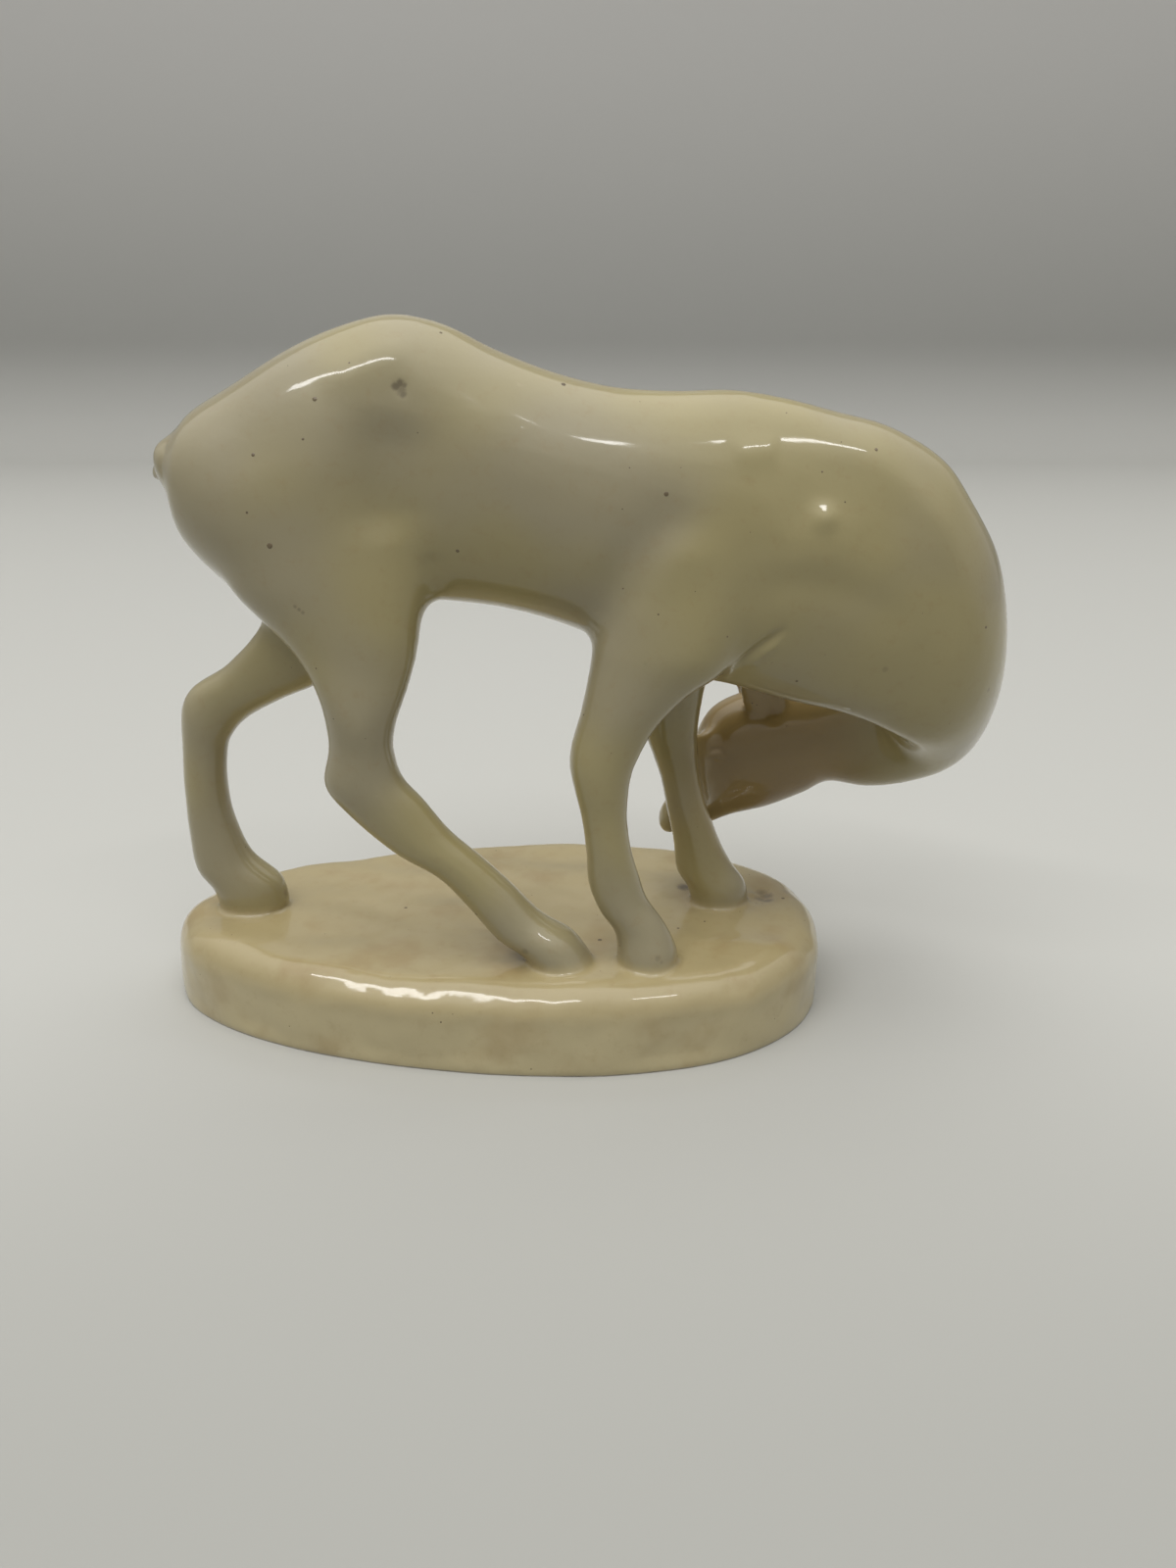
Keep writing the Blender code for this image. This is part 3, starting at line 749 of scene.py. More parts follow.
def face_strokes():
    """Eyes, mouth and nostrils, first on the near side of the head and then on the far side."""
    eye = seen_at(EYE)
    lid = [eye + Vector(step) * MM for step in ((-2.0, 0, 0.2), (-0.9, 0, 1.3), (0.9, 0, 1.3), (2.0, 0, 0.1))]
    socket = [eye + Vector(step) * MM for step in ((-1.9, 0, -0.3), (-0.6, 0, -1.5), (1.2, 0, -1.3))]
    near = [
        Stroke([eye], EYE_BREADTH, -0.5),
        Stroke(lid, 0.55, 0.28),
        Stroke(socket, 0.55, 0.22),
        Stroke([to_clay(place) for place in MOUTH], 0.6, 0.35),
        Stroke([to_clay(NOSTRIL)], 0.8, 0.4),
    ]
    far = [Stroke([on_far_side(point, HEAD_LINE) for point in s.path], s.breadth, s.depth) for s in near]
    return near + far


def ear_strokes():
    """The hollow inside each ear, on the side that faces away from the head."""
    strokes = []
    for side in (-1, 1):
        path = []
        for s in ear(side)[:3]:
            middle = (np.array(s.over) + np.array(s.under)) / 2
            middle += (0.8, side * EAR_THICKNESS, PLINTH_HEIGHT + 2)
            path.append(to_clay(middle))
        strokes.append(Stroke(path, 2.0, 0.8))
    return strokes


surface = clay_tree(clay)
marks = [Stroke([seen_at(pixel) for pixel in pixels], breadth, depth) for pixels, breadth, depth in FOLDS]
marks += face_strokes() + ear_strokes()
carve(clay, marks)
print(len(marks), "finer marks")

# %% [markdown]
# Flaws. The photograph shows one crater on the haunch where a bubble broke in the glaze, a chipped bubble
# by the toe of the far foreleg, and a few dark spots. One of them, at the near hind heel where it meets
# the plinth, is painted shade. Each that has a depth is pressed in here, and the same list later stains
# the glaze and paints that shade.

# %% Craters, chips, stained spots and a spot of painted shade
Flaw = namedtuple("Flaw", "pixel radius depth darkness")
FLAWS_AND_SHADE_SPOTS = [
    Flaw((404, 394), 1.1, 0.07, 0.62),
    Flaw((408, 391), 1.0, 0.06, 0.6),
    Flaw((412, 393), 0.75, 0.05, 0.5),
    Flaw((409, 398), 1.25, 0.14, 0.42),
    Flaw((411, 402), 0.9, 0.05, 0.48),
    Flaw((777, 909), 1.9, 0.3, 0.4),
    Flaw((777, 915), 2.0, 0.4, 0.45),
    Flaw((782, 912), 2.1, 0.4, 0.55),
    Flaw((783, 917), 1.8, 0.3, 0.6),
    Flaw((766, 919), 0.45, 0.2, 0.6),
    Flaw((772, 921), 0.45, 0.2, 0.6),
    Flaw((778, 921), 0.45, 0.2, 0.6),
    Flaw((766, 912), 1.3, -0.35, 0.0),
    Flaw((698, 906), 2.2, 0.1, 0.7),
    # painted shade at the near hind heel, where it meets the plinth
    Flaw((536, 971), 1.0, 0.0, 0.3),
    Flaw((292, 911), 1.3, 0.0, 0.3),
    Flaw((671, 978), 0.8, 0.0, 0.22),
    Flaw((675, 982), 0.5, 0.0, 0.18),
    Flaw((301, 619), 0.5, 0.05, 0.3),
    Flaw((305, 622), 0.5, 0.05, 0.35),
    Flaw((309, 625), 0.5, 0.05, 0.3),
    Flaw((903, 683), 0.8, 0.0, 0.2),
    Flaw((1009, 704), 0.7, 0.0, 0.3),
]
surface = clay_tree(clay)
flaw_places = [seen_at(flaw.pixel) for flaw in FLAWS_AND_SHADE_SPOTS]
pits = [Stroke([place], flaw.radius, flaw.depth) for place, flaw in zip(flaw_places, FLAWS_AND_SHADE_SPOTS) if flaw.depth]
carve(clay, pits)
print(len(FLAWS_AND_SHADE_SPOTS), "flaws placed")

# %% [markdown]
# Nothing made by hand is quite even. The plinth's top and wall wander by a few tenths of a millimetre,
# which is what bends the long highlight along its edge, and the body far less. A sum of a few waves with
# fixed random directions gives that without any lattice showing. Each set of waves below is an amount and
# a wavelength in millimetres, and the seed of its directions.

# %% Unevenness of the hand-made surface
WAVES = 9
PLINTH_FADE = 3
FOOT_FADE = 4
PLINTH_WAVES = ((0.24, 17, 3), (0.04, 6, 4))
BODY_WAVES = ((0.08, 22, 5), (0.012, 7, 6))


def unevenness(points, wavelength, seed):
    """A smooth height between about -1 and 1 at each point, which repeats at no place on the figure."""
    draw = np.random.default_rng(seed)
    height = np.zeros(len(points))
    for _ in range(WAVES):
        direction = draw.normal(size=3)
        direction /= np.linalg.norm(direction)
        length = wavelength * MM * draw.uniform(0.75, 1.5)
        height += np.sin(points @ direction * 2 * pi / length + draw.uniform(0, 2 * pi))
    return height / WAVES ** 0.5


def wander(points, sets):
    """The sets of waves added up at each point, in millimetres."""
    return sum(amount * unevenness(points, wavelength, seed) for amount, wavelength, seed in sets)


def wobble(thing):
    """Move each point along its normal, more on the plinth than on the fawn. Returns the farthest move."""
    points = read_mesh(thing.data)[0]
    above = points[:, 2] / MM - PLINTH_HEIGHT
    plinth = np.clip(1 - above / PLINTH_FADE, 0, 1) * np.clip(points[:, 2] / MM / FOOT_FADE, 0, 1)
    height = plinth * wander(points, PLINTH_WAVES)
    height += (1 - plinth) * wander(points, BODY_WAVES)
    write_mesh(thing.data, points + read_normals(thing.data) * height[:, None] * MM)
    return float(np.abs(height).max())


print("the surface wanders by up to", round(wobble(clay), 2), "mm")

# %% [markdown]
# Thinning keeps more points where the surface bends, then the model is cut flat at its underside, as the
# real one is rubbed level on a board before it is fired.

# %% Thin the mesh and cut it flat
MOST_FACES = 190000


def thin(thing, faces):
    thing.data.calc_loop_triangles()
    fewer = thing.modifiers.new("fewer faces", "DECIMATE")
    fewer.ratio = min(1.0, faces / len(thing.data.loop_triangles))
    fewer.use_collapse_triangulate = True
    thing.data = evaluated(thing)
    thing.modifiers.clear()


def cut_flat(thing):
    cut = bmesh.new()
    cut.from_mesh(thing.data)
    everything = cut.verts[:] + cut.edges[:] + cut.faces[:]
    bmesh.ops.bisect_plane(cut, geom=everything, dist=1e-7, plane_co=(0, 0, 0), plane_no=(0, 0, 1),
                           clear_inner=True)
    bmesh.ops.contextual_create(cut, geom=[edge for edge in cut.edges if edge.is_boundary])
    bmesh.ops.recalc_face_normals(cut, faces=cut.faces)
    cut.to_mesh(thing.data)
    cut.free()


thin(clay, MOST_FACES)
cut_flat(clay)
clay.data.shade_smooth()
print("after thinning:", len(clay.data.polygons), "faces")

# %% [markdown]
# A clear glaze is thick where it runs together, in corners and round the feet, and thin on ridges. Thick
# glaze looks amber, thin glaze lets the pale clay through. The amber also darkens every corner and crease
# where shade falls, so in part it is painted shade. Smoothing a copy of the surface tells which is which:
# in a hollow the smoothed point lies outside the real one, on a ridge inside it. That number is stored on
# the mesh, and the glaze reads it.

# %% Where the glaze pools
POOL_PASSES = 16
POOL_FULL = 0.40
EVENING_PASSES = 6


def store_pool_and_shade(thing):
    """Store at each point how deep it lies in a hollow (up to 1) or how high on a ridge (down to -1)."""
    points, links = read_mesh(thing.data)
    normals = read_normals(thing.data)
    eased = points.copy()
    for _ in range(POOL_PASSES):
        eased = eased + 0.5 * to_neighbours(eased, links)
    hollow = np.einsum("ij,ij->i", eased - points, normals) / MM / POOL_FULL
    hollow = np.clip(hollow, -1, 1)[:, None]
    for _ in range(EVENING_PASSES):
        hollow = hollow + 0.5 * to_neighbours(hollow, links)
    pool_and_shade = thing.data.attributes.new("pool_and_shade", "FLOAT", "POINT")
    pool_and_shade.data.foreach_set("value", hollow[:, 0].astype(np.float32))
    return hollow


pool_and_shade = store_pool_and_shade(clay)
print("glaze pools on", round(100 * float((pool_and_shade > 0.5).mean()), 1), "% of the points")

# %% [markdown]
# Iron specks and pinholes are tiny round dots, nearly two hundred of them and too many to place one by
# one. Geometry Nodes scatter them: points are spread over the skin, the specks that the photograph shows
# are added to them, and on each one sits a flattened ball of 80 faces that faces the way the surface
# does.

# %% Specks seen in the photograph
SEEN_SPECKS = [
    ((321, 407), 0.9), ((258, 464), 0.7), ((275, 557), 1.1), ((467, 562), 0.7), ((575, 392), 0.9),
    ((450, 339), 0.6), ((680, 504), 0.9), ((894, 459), 0.7), ((1006, 640), 0.6), ((813, 695), 0.6),
    ((414, 926), 0.8), ((486, 933), 0.7), ((612, 958), 1.0), ((692, 947), 0.7), ((719, 940), 0.5),
    ((799, 917), 0.8), ((252, 523), 0.5), ((309, 448), 0.5),
]


def speck_points():
    """Bare points at the specks that are seen, with each one's breadth and the way the surface faces."""
    tree = clay_tree(clay)
    places = []
    facings = []
    for pixel, breadth in SEEN_SPECKS:
        place, normal = tree.find_nearest(seen_at(pixel))[:2]
        places.append(place)
        facings.append(normal)
    mesh = bpy.data.meshes.new("seen_specks")
    mesh.from_pydata(places, [], [])
    breadths = mesh.attributes.new("breadth", "FLOAT", "POINT")
    breadths.data.foreach_set("value", [breadth * MM for pixel, breadth in SEEN_SPECKS])
    facing = mesh.attributes.new("facing", "FLOAT_VECTOR", "POINT")
    facing.data.foreach_set("vector", [value for normal in facings for value in normal])
    thing = bpy.data.objects.new("seen_specks", mesh)
    bpy.context.scene.collection.objects.link(thing)
    return thing


seen_specks = speck_points()
print(len(SEEN_SPECKS), "specks seen")


# %% Node tree that scatters the specks
def tree_inputs(tree, sizes):
    """Add named inputs to a node tree and return their identifiers."""
    names = {}
    for name, kind, value in sizes:
        socket = tree.interface.new_socket(name=name, in_out="INPUT", socket_type=kind)
        if value is not None:
            socket.default_value = value
        names[name] = socket.identifier
    return names


def speck_tree(material):
    tree = bpy.data.node_groups.new("iron_specks", "GeometryNodeTree")
    inputs = tree_inputs(tree, [
        ("Skin", "NodeSocketGeometry", None),
        ("Seen specks", "NodeSocketObject", None),
        ("Specks per square metre", "NodeSocketFloat", 2600.0),
        ("Smallest", "NodeSocketFloat", 0.00016),
        ("Largest", "NodeSocketFloat", 0.00040),
        ("Flatness", "NodeSocketFloat", 0.16),
        ("Seed", "NodeSocketInt", 7),
    ])
    tree.interface.new_socket(name="Specks", in_out="OUTPUT", socket_type="NodeSocketGeometry")
    node = tree.nodes.new
    link = tree.links.new
    given = node("NodeGroupInput")
    spread = node("GeometryNodeDistributePointsOnFaces")
    link(given.outputs["Skin"], spread.inputs["Mesh"])
    link(given.outputs["Specks per square metre"], spread.inputs["Density"])
    link(given.outputs["Seed"], spread.inputs["Seed"])
    drawn = node("FunctionNodeRandomValue")
    link(given.outputs["Smallest"], drawn.inputs[2])
    link(given.outputs["Largest"], drawn.inputs[3])
    link(given.outputs["Seed"], drawn.inputs["Seed"])
    keep_breadth = node("GeometryNodeStoreNamedAttribute")
    keep_breadth.data_type = "FLOAT"
    keep_breadth.inputs["Name"].default_value = "breadth"
    link(spread.outputs["Points"], keep_breadth.inputs["Geometry"])
    link(drawn.outputs[1], keep_breadth.inputs["Value"])
    keep_facing = node("GeometryNodeStoreNamedAttribute")
    keep_facing.data_type = "FLOAT_VECTOR"
    keep_facing.inputs["Name"].default_value = "facing"
    link(keep_breadth.outputs["Geometry"], keep_facing.inputs["Geometry"])
    link(spread.outputs["Normal"], keep_facing.inputs["Value"])
    seen = node("GeometryNodeObjectInfo")
    link(given.outputs["Seen specks"], seen.inputs["Object"])
    as_points = node("GeometryNodeMeshToPoints")
    link(seen.outputs["Geometry"], as_points.inputs["Mesh"])
    together = node("GeometryNodeJoinGeometry")
    link(keep_facing.outputs["Geometry"], together.inputs["Geometry"])
    link(as_points.outputs["Points"], together.inputs["Geometry"])
    breadth = node("GeometryNodeInputNamedAttribute")
    breadth.data_type = "FLOAT"
    breadth.inputs["Name"].default_value = "breadth"
    facing = node("GeometryNodeInputNamedAttribute")
    facing.data_type = "FLOAT_VECTOR"
    facing.inputs["Name"].default_value = "facing"
    turned = node("FunctionNodeAlignRotationToVector")
    turned.axis = "Z"
    link(facing.outputs["Attribute"], turned.inputs["Vector"])
    dot = node("GeometryNodeMeshIcoSphere")
    dot.inputs["Radius"].default_value = 0.5
    dot.inputs["Subdivisions"].default_value = 2
    thickness = node("ShaderNodeMath")
    thickness.operation = "MULTIPLY"
    link(breadth.outputs["Attribute"], thickness.inputs[0])
    link(given.outputs["Flatness"], thickness.inputs[1])
    size = node("ShaderNodeCombineXYZ")
    link(breadth.outputs["Attribute"], size.inputs["X"])
    link(breadth.outputs["Attribute"], size.inputs["Y"])
    link(thickness.outputs[0], size.inputs["Z"])
    set_out = node("GeometryNodeInstanceOnPoints")
    link(together.outputs["Geometry"], set_out.inputs["Points"])
    link(dot.outputs["Mesh"], set_out.inputs["Instance"])
    link(turned.outputs["Rotation"], set_out.inputs["Rotation"])
    link(size.outputs["Vector"], set_out.inputs["Scale"])
    real = node("GeometryNodeRealizeInstances")
    link(set_out.outputs["Instances"], real.inputs["Geometry"])
    finish = node("GeometryNodeSetMaterial")
    finish.inputs["Material"].default_value = material
    link(real.outputs["Geometry"], finish.inputs["Geometry"])
    given_back = node("NodeGroupOutput")
    link(finish.outputs["Geometry"], given_back.inputs["Specks"])
    return tree, inputs


def iron():
    """Dark brown of an iron speck that has melted into the glaze."""
    material = bpy.data.materials.new("iron_speck")
    material.use_nodes = True
    nodes = material.node_tree.nodes
    shader = nodes["Principled BSDF"]
    place = nodes.new("ShaderNodeTexCoord")
    noise = nodes.new("ShaderNodeTexNoise")
    noise.inputs["Scale"].default_value = 60
    shade = nodes.new("ShaderNodeValToRGB")
    shade.color_ramp.elements[0].position = 0.35
    shade.color_ramp.elements[0].color = (0.11, 0.08, 0.045, 1)
    shade.color_ramp.elements[1].position = 0.65
    shade.color_ramp.elements[1].color = (0.24, 0.19, 0.11, 1)
    link = material.node_tree.links.new
    link(place.outputs["Object"], noise.inputs["Vector"])
    link(noise.outputs["Fac"], shade.inputs["Fac"])
    link(shade.outputs["Color"], shader.inputs["Base Color"])
    shader.inputs["Roughness"].default_value = 0.25
    return material


tree, speck_inputs = speck_tree(iron())
print("speck tree with inputs", list(speck_inputs))


# %% Scatter the specks and keep them as a plain mesh
def scatter_specks():
    holder = bpy.data.objects.new("glaze_specks", clay.data.copy())
    bpy.context.scene.collection.objects.link(holder)
    scatter = holder.modifiers.new("iron specks", "NODES")
    scatter.node_group = tree
    scatter[speck_inputs["Seen specks"]] = seen_specks
    plain = evaluated(holder)
    holder.modifiers.clear()
    holder.data = plain
    bpy.data.objects.remove(seen_specks)
    return holder


specks = scatter_specks()
specks.data.shade_smooth()
print("specks:", len(specks.data.polygons), "faces")

# %% [markdown]
# The glaze is one Principled shader. Under its clear coat lies the ivory body, which is a little warmer
# here and greyer there. The head is browner, partly thicker glaze and partly painted shade where it lies
# under the neck. The plinth is paler, and its wall palest of all, which is painted light. Pooled glaze is
# amber, which also paints shade into the hollows, and ridges are paler. The stained spots of the flaw
# list, with the painted shade at the near hind heel, are brushed in by their distance in the object's own
# coordinates, so they stay put from every side. The underside's lowest half millimetre is bare, as a
# potter wipes the foot.

# %% Glaze
IVORY = (0.382, 0.332, 0.169, 1)
IVORY_COOL = (0.345, 0.308, 0.204, 1)
IVORY_PLINTH = (0.468, 0.394, 0.224, 1)
PAINTED_LIGHT_WALL = (0.600, 0.525, 0.325, 1)
AMBER = (0.285, 0.162, 0.038, 1)
PALE_RIDGE = (0.460, 0.410, 0.260, 1)
STAIN_AND_SHADE = (0.060, 0.040, 0.022, 1)
BARE_CLAY = (0.480, 0.430, 0.340, 1)
SHADED_HEAD_MIDDLE = (0.063, 0.016, 0.053)
SHADED_HEAD_REACH = 0.034
BARE_HEIGHT = 0.5
PLINTH_TINT_ENDS = PLINTH_HEIGHT + 3
WALL_LIGHT_STARTS = PLINTH_HEIGHT - 3
WALL_LIGHT_FULL = PLINTH_HEIGHT - 10
POOL_AND_SHADE_STRENGTH = 0.55
RIDGE_STRENGTH = 0.5
CLOUD_STRENGTH = 0.28
HEAD_SHADE_AND_GLAZE_STRENGTH = 0.6
MOTTLE_STRENGTH = 0.16


class Painter:
    """Short ways to add nodes to one material."""

    def __init__(self, material):
        self.nodes = material.node_tree.nodes
        self.link = material.node_tree.links.new

    def add(self, kind, **settings):
        node = self.nodes.new(kind)
        for name, value in settings.items():
            setattr(node, name, value)
        return node

    def math(self, operation, a, b):
        node = self.add("ShaderNodeMath", operation=operation)
        for socket, value in zip(node.inputs, (a, b)):
            if isinstance(value, (int, float)):
                socket.default_value = value
            else:
                self.link(value, socket)
        return node.outputs[0]

    def noise(self, where, scale, detail=2.0, rough=0.5):
        node = self.add("ShaderNodeTexNoise")
        node.inputs["Scale"].default_value = scale
        node.inputs["Detail"].default_value = detail
        node.inputs["Roughness"].default_value = rough
        self.link(where, node.inputs["Vector"])
        return node.outputs["Fac"]

    def spread(self, value, low, high):
        """0 at low, 1 at high, smooth between."""
        node = self.add("ShaderNodeMapRange", interpolation_type="SMOOTHSTEP")
        node.inputs["From Min"].default_value = low
        node.inputs["From Max"].default_value = high
        self.link(value, node.inputs["Value"])
        return node.outputs["Result"]

    def mix(self, share, first, second):
        node = self.add("ShaderNodeMix", data_type="RGBA")
        self.link(share, node.inputs["Factor"])
        for socket, value in zip((node.inputs[6], node.inputs[7]), (first, second)):
            if isinstance(value, tuple):
                socket.default_value = value
            else:
                self.link(value, socket)
        return node.outputs[2]


def stain_and_shade_share(paint, where):
    """How dark the flaws stain the glaze, and the painted shade at the near hind heel, at each place, from 0
    to 1.
    """
    ragged = paint.noise(where, 1400, 2)
    total = None
    for place, flaw in zip(flaw_places, FLAWS_AND_SHADE_SPOTS):
        if flaw.darkness == 0:
            continue
        away = paint.add("ShaderNodeVectorMath", operation="DISTANCE")
        paint.link(where, away.inputs[0])
        away.inputs[1].default_value = place
        share = paint.math("DIVIDE", away.outputs["Value"], flaw.radius * MM)
        share = paint.math("ADD", share, paint.math("MULTIPLY", ragged, 0.5))
        share = paint.math("MULTIPLY", paint.spread(share, 1.35, 0.55), flaw.darkness)
        total = share if total is None else paint.math("MAXIMUM", total, share)
    return total


def glaze():
    material = bpy.data.materials.new("ivory_glaze")
    material.use_nodes = True
    paint = Painter(material)
    shader = paint.nodes["Principled BSDF"]
    where = paint.add("ShaderNodeTexCoord").outputs["Object"]
    colour = paint.mix(paint.spread(paint.noise(where, 28, 1), 0.38, 0.62), IVORY, IVORY_COOL)
    pool_and_shade = paint.add("ShaderNodeAttribute", attribute_name="pool_and_shade").outputs["Fac"]
    # pooled glaze, and with it painted shade: every hollow and crease is darkened towards amber
    pooled_and_shaded = paint.math("MULTIPLY", paint.spread(pool_and_shade, 0.35, 1.0), POOL_AND_SHADE_STRENGTH)
    colour = paint.mix(pooled_and_shaded, colour, AMBER)
    ridge = paint.math("MULTIPLY", paint.spread(pool_and_shade, -0.3, -1.0), RIDGE_STRENGTH)
    colour = paint.mix(ridge, colour, PALE_RIDGE)
    height = paint.add("ShaderNodeSeparateXYZ")
    paint.link(where, height.inputs[0])
    low_down = paint.spread(height.outputs["Z"], PLINTH_TINT_ENDS * MM, PLINTH_HEIGHT * MM)
    colour = paint.mix(low_down, colour, IVORY_PLINTH)
    # painted light: the plinth's wall is paler than its top, which brightens it in place of light falling on
    # it
    painted_wall_light = paint.spread(height.outputs["Z"], WALL_LIGHT_STARTS * MM, WALL_LIGHT_FULL * MM)
    colour = paint.mix(painted_wall_light, colour, PAINTED_LIGHT_WALL)
    cloud = paint.math("MULTIPLY", paint.spread(paint.noise(where, 75, 3), 0.48, 0.72), low_down)
    colour = paint.mix(paint.math("MULTIPLY", cloud, CLOUD_STRENGTH), colour, AMBER)
    # partly painted shade and bounce light, partly thicker glaze: the head, which lies under the neck, is
    # browned towards amber
    near_shaded_head = paint.add("ShaderNodeVectorMath", operation="DISTANCE")
    paint.link(where, near_shaded_head.inputs[0])
    near_shaded_head.inputs[1].default_value = SHADED_HEAD_MIDDLE
    head = paint.spread(near_shaded_head.outputs["Value"], SHADED_HEAD_REACH, 0.4 * SHADED_HEAD_REACH)
    head = paint.math("MULTIPLY", head, HEAD_SHADE_AND_GLAZE_STRENGTH)
    colour = paint.mix(head, colour, AMBER)
    mottle = paint.spread(paint.noise(where, 330, 4, 0.7), 0.50, 0.80)
    mottle = paint.math("MULTIPLY", mottle, MOTTLE_STRENGTH)
    colour = paint.mix(mottle, colour, AMBER)
    # flaw stains, and painted shade at the near hind heel
    colour = paint.mix(stain_and_shade_share(paint, where), colour, STAIN_AND_SHADE)
    bare = paint.spread(height.outputs["Z"], BARE_HEIGHT * MM, 0.4 * BARE_HEIGHT * MM)
    colour = paint.mix(bare, colour, BARE_CLAY)
    paint.link(colour, shader.inputs["Base Color"])
    worn = paint.math("ADD", paint.math("MULTIPLY", paint.noise(where, 45, 3), 0.12), 0.26)
    paint.link(worn, shader.inputs["Roughness"])
    shader.inputs["Coat Weight"].default_value = 1.0
    shader.inputs["Coat Roughness"].default_value = 0.07
    shader.inputs["Coat IOR"].default_value = 1.45
    shader.inputs["Coat Tint"].default_value = (1.0, 0.98, 0.92, 1)
    shader.inputs["Specular IOR Level"].default_value = 0.25
    bump = paint.add("ShaderNodeBump")
    bump.inputs["Strength"].default_value = 0.18
    bump.inputs["Distance"].default_value = 0.0002
    paint.link(paint.noise(where, 520, 2), bump.inputs["Height"])
    paint.link(bump.outputs["Normal"], shader.inputs["Normal"])
    return material


clay.data.materials.clear()
clay.data.materials.append(glaze())
print("glaze on", clay.name)

# %% [markdown]
# The floor is a wide pale sheet that rises far behind the fawn in one sweep, as a photographer's paper
# does. Its colour is given twice: as the camera and mirrors see it, and darker for the light that it
# throws back. As it is seen, it is painted darker towards the camera, which is painted shade, and paler
# up the backdrop, which is painted light.

# %% Floor
FLOOR_HALF_WIDTH = 2.6
FLOOR_FRONT = -2.4
SWEEP_START = 1.45
SWEEP_RADIUS = 0.16
SWEEP_STEPS = 12
BACKDROP_HEIGHT = 2.2
PAPER = (0.53, 0.53, 0.50, 1)
PAPER_SHADED_NEAR = (0.38, 0.38, 0.355, 1)
PAPER_LIT_HIGH = (0.88, 0.87, 0.84, 1)
PAPER_BOUNCE = (0.30, 0.30, 0.28, 1)


def floor_profile():
    """The sweep from the side: y and z in metres, front to back."""
    points = [(FLOOR_FRONT, 0.0), (SWEEP_START, 0.0)]
    for step in range(1, SWEEP_STEPS + 1):
        turn = step * pi / 2 / SWEEP_STEPS
        points.append((SWEEP_START + SWEEP_RADIUS * sin(turn), SWEEP_RADIUS * (1 - cos(turn))))
    points.append((SWEEP_START + SWEEP_RADIUS, BACKDROP_HEIGHT))
    return points


def paper():
    material = bpy.data.materials.new("pale_paper")
    material.use_nodes = True
    paint = Painter(material)
    shader = paint.nodes["Principled BSDF"]
    where = paint.add("ShaderNodeTexCoord").outputs["Object"]
    apart = paint.add("ShaderNodeSeparateXYZ")
    paint.link(where, apart.inputs[0])
    # painted shade: the floor darkens towards the camera
    near = paint.spread(apart.outputs["Y"], 0.02, -0.16)
    path = paint.add("ShaderNodeLightPath")
    looked_at = paint.math("MAXIMUM", path.outputs["Is Camera Ray"], path.outputs["Is Glossy Ray"])
    looked_at = paint.math("MAXIMUM", looked_at, path.outputs["Is Transmission Ray"])
    seen = paint.mix(near, PAPER, PAPER_SHADED_NEAR)
    # painted light: the backdrop grows paler the higher it rises
    seen = paint.mix(paint.spread(apart.outputs["Z"], 0.05, 0.7), seen, PAPER_LIT_HIGH)
    paint.link(paint.mix(looked_at, PAPER_BOUNCE, seen), shader.inputs["Base Color"])
    shader.inputs["Roughness"].default_value = 0.7
    return material


sheet = bmesh.new()
columns = []
for x in (-FLOOR_HALF_WIDTH, FLOOR_HALF_WIDTH):
    columns.append([sheet.verts.new((x, y, z)) for y, z in floor_profile()])
for index in range(len(columns[0]) - 1):
    sheet.faces.new((columns[0][index], columns[1][index], columns[1][index + 1], columns[0][index + 1]))
floor = bpy.data.objects.new("floor", bpy.data.meshes.new("floor"))
sheet.to_mesh(floor.data)
sheet.free()
floor.data.shade_smooth()
floor.data.materials.append(paper())
bpy.context.scene.collection.objects.link(floor)
print("floor sweep of", len(columns[0]), "rows")

# %% [markdown]
# The light comes mostly from a bright ceiling: upper surfaces are about twice as bright as the sides. Two
# strip lamps in front of the fawn and above it draw the thin highlights. A third, wide and faint, stands
# behind it. The room's light is given by the world, brighter the higher one looks, and what the camera
# and mirrors see of the room is plain pale grey.

# %% Lamps and room
MIDDLE = Vector((0.01, -0.01, 0.08))


def lamp(name, azimuth, elevation, distance, size, energy):
    """A rectangular lamp that faces the fawn. Azimuth is 0 on the camera's side and grows to the right."""
    data = bpy.data.lights.new(name, "AREA")
    data.shape = "RECTANGLE"
    data.size, data.size_y = size
    data.energy = energy
    level = cos(radians(elevation))
    way = Vector((sin(radians(azimuth)) * level, -cos(radians(azimuth)) * level, sin(radians(elevation))))
    thing = bpy.data.objects.new(name, data)
    thing.location = MIDDLE + way * distance
    thing.rotation_euler = (-way).to_track_quat("-Z", "Y").to_euler()
    bpy.context.scene.collection.objects.link(thing)


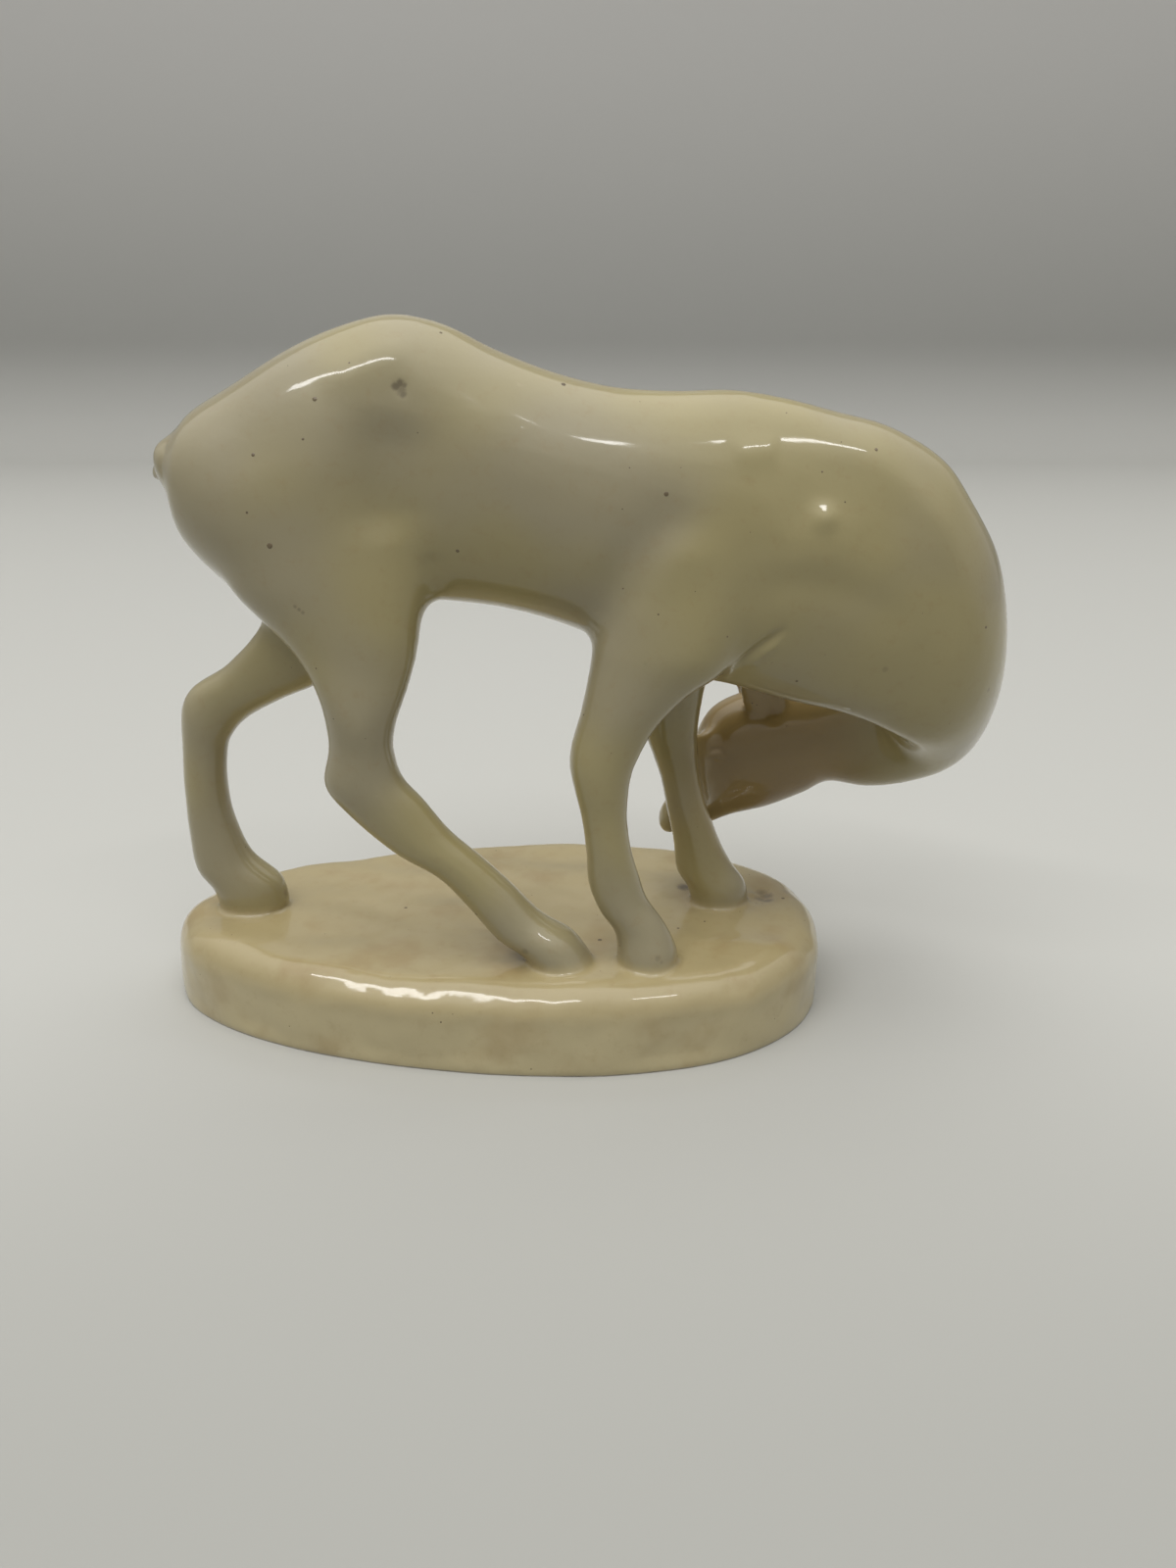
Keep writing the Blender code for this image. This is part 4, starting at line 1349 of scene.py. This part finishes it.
lamp("strip_left", -31, 51, 1.9, (1.44, 0.13), 8.0)
lamp("strip_right", 32, 51, 1.9, (0.52, 0.08), 2.2)
lamp("behind", -166, 33, 1.5, (0.90, 0.50), 0.25)


def room_light(diffuse, seen):
    """diffuse and seen: brightness at the horizon, brightness overhead and how fast it grows between."""
    world = bpy.data.worlds.new("room")
    bpy.context.scene.world = world
    world.use_nodes = True
    nodes = world.node_tree.nodes
    link = world.node_tree.links.new
    where = nodes.new("ShaderNodeTexCoord")
    apart = nodes.new("ShaderNodeSeparateXYZ")
    link(where.outputs["Generated"], apart.inputs[0])
    brightness = []
    for horizon, overhead, power in (diffuse, seen):
        upward = nodes.new("ShaderNodeClamp")
        link(apart.outputs["Z"], upward.inputs["Value"])
        growth = nodes.new("ShaderNodeMath")
        growth.operation = "POWER"
        growth.inputs[1].default_value = power
        link(upward.outputs[0], growth.inputs[0])
        ramp = nodes.new("ShaderNodeMapRange")
        ramp.inputs["To Min"].default_value = horizon
        ramp.inputs["To Max"].default_value = overhead
        link(growth.outputs[0], ramp.inputs["Value"])
        brightness.append(ramp.outputs["Result"])
    path = nodes.new("ShaderNodeLightPath")
    looked_at = path.outputs["Is Camera Ray"]
    for ray in ("Is Glossy Ray", "Is Transmission Ray"):
        either = nodes.new("ShaderNodeMath")
        either.operation = "MAXIMUM"
        link(looked_at, either.inputs[0])
        link(path.outputs[ray], either.inputs[1])
        looked_at = either.outputs[0]
    strength = nodes.new("ShaderNodeMix")
    strength.data_type = "FLOAT"
    link(looked_at, strength.inputs["Factor"])
    link(brightness[0], strength.inputs[2])
    link(brightness[1], strength.inputs[3])
    background = nodes["Background"]
    background.inputs["Color"].default_value = (1.0, 0.99, 0.97, 1)
    link(strength.outputs[0], background.inputs["Strength"])


room_light(diffuse=(0.0, 3.2, 4.4), seen=(0.42, 1.9, 2))
bpy.context.scene.view_settings.view_transform = "Standard"
print("three lamps and the room's own light")

# %% [markdown]
# Last, each piece says which body it moves with, and the imported model is hidden.

# %% Hand over to the frame
for piece in (clay, specks):
    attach(piece, "root")
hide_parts(NODE)
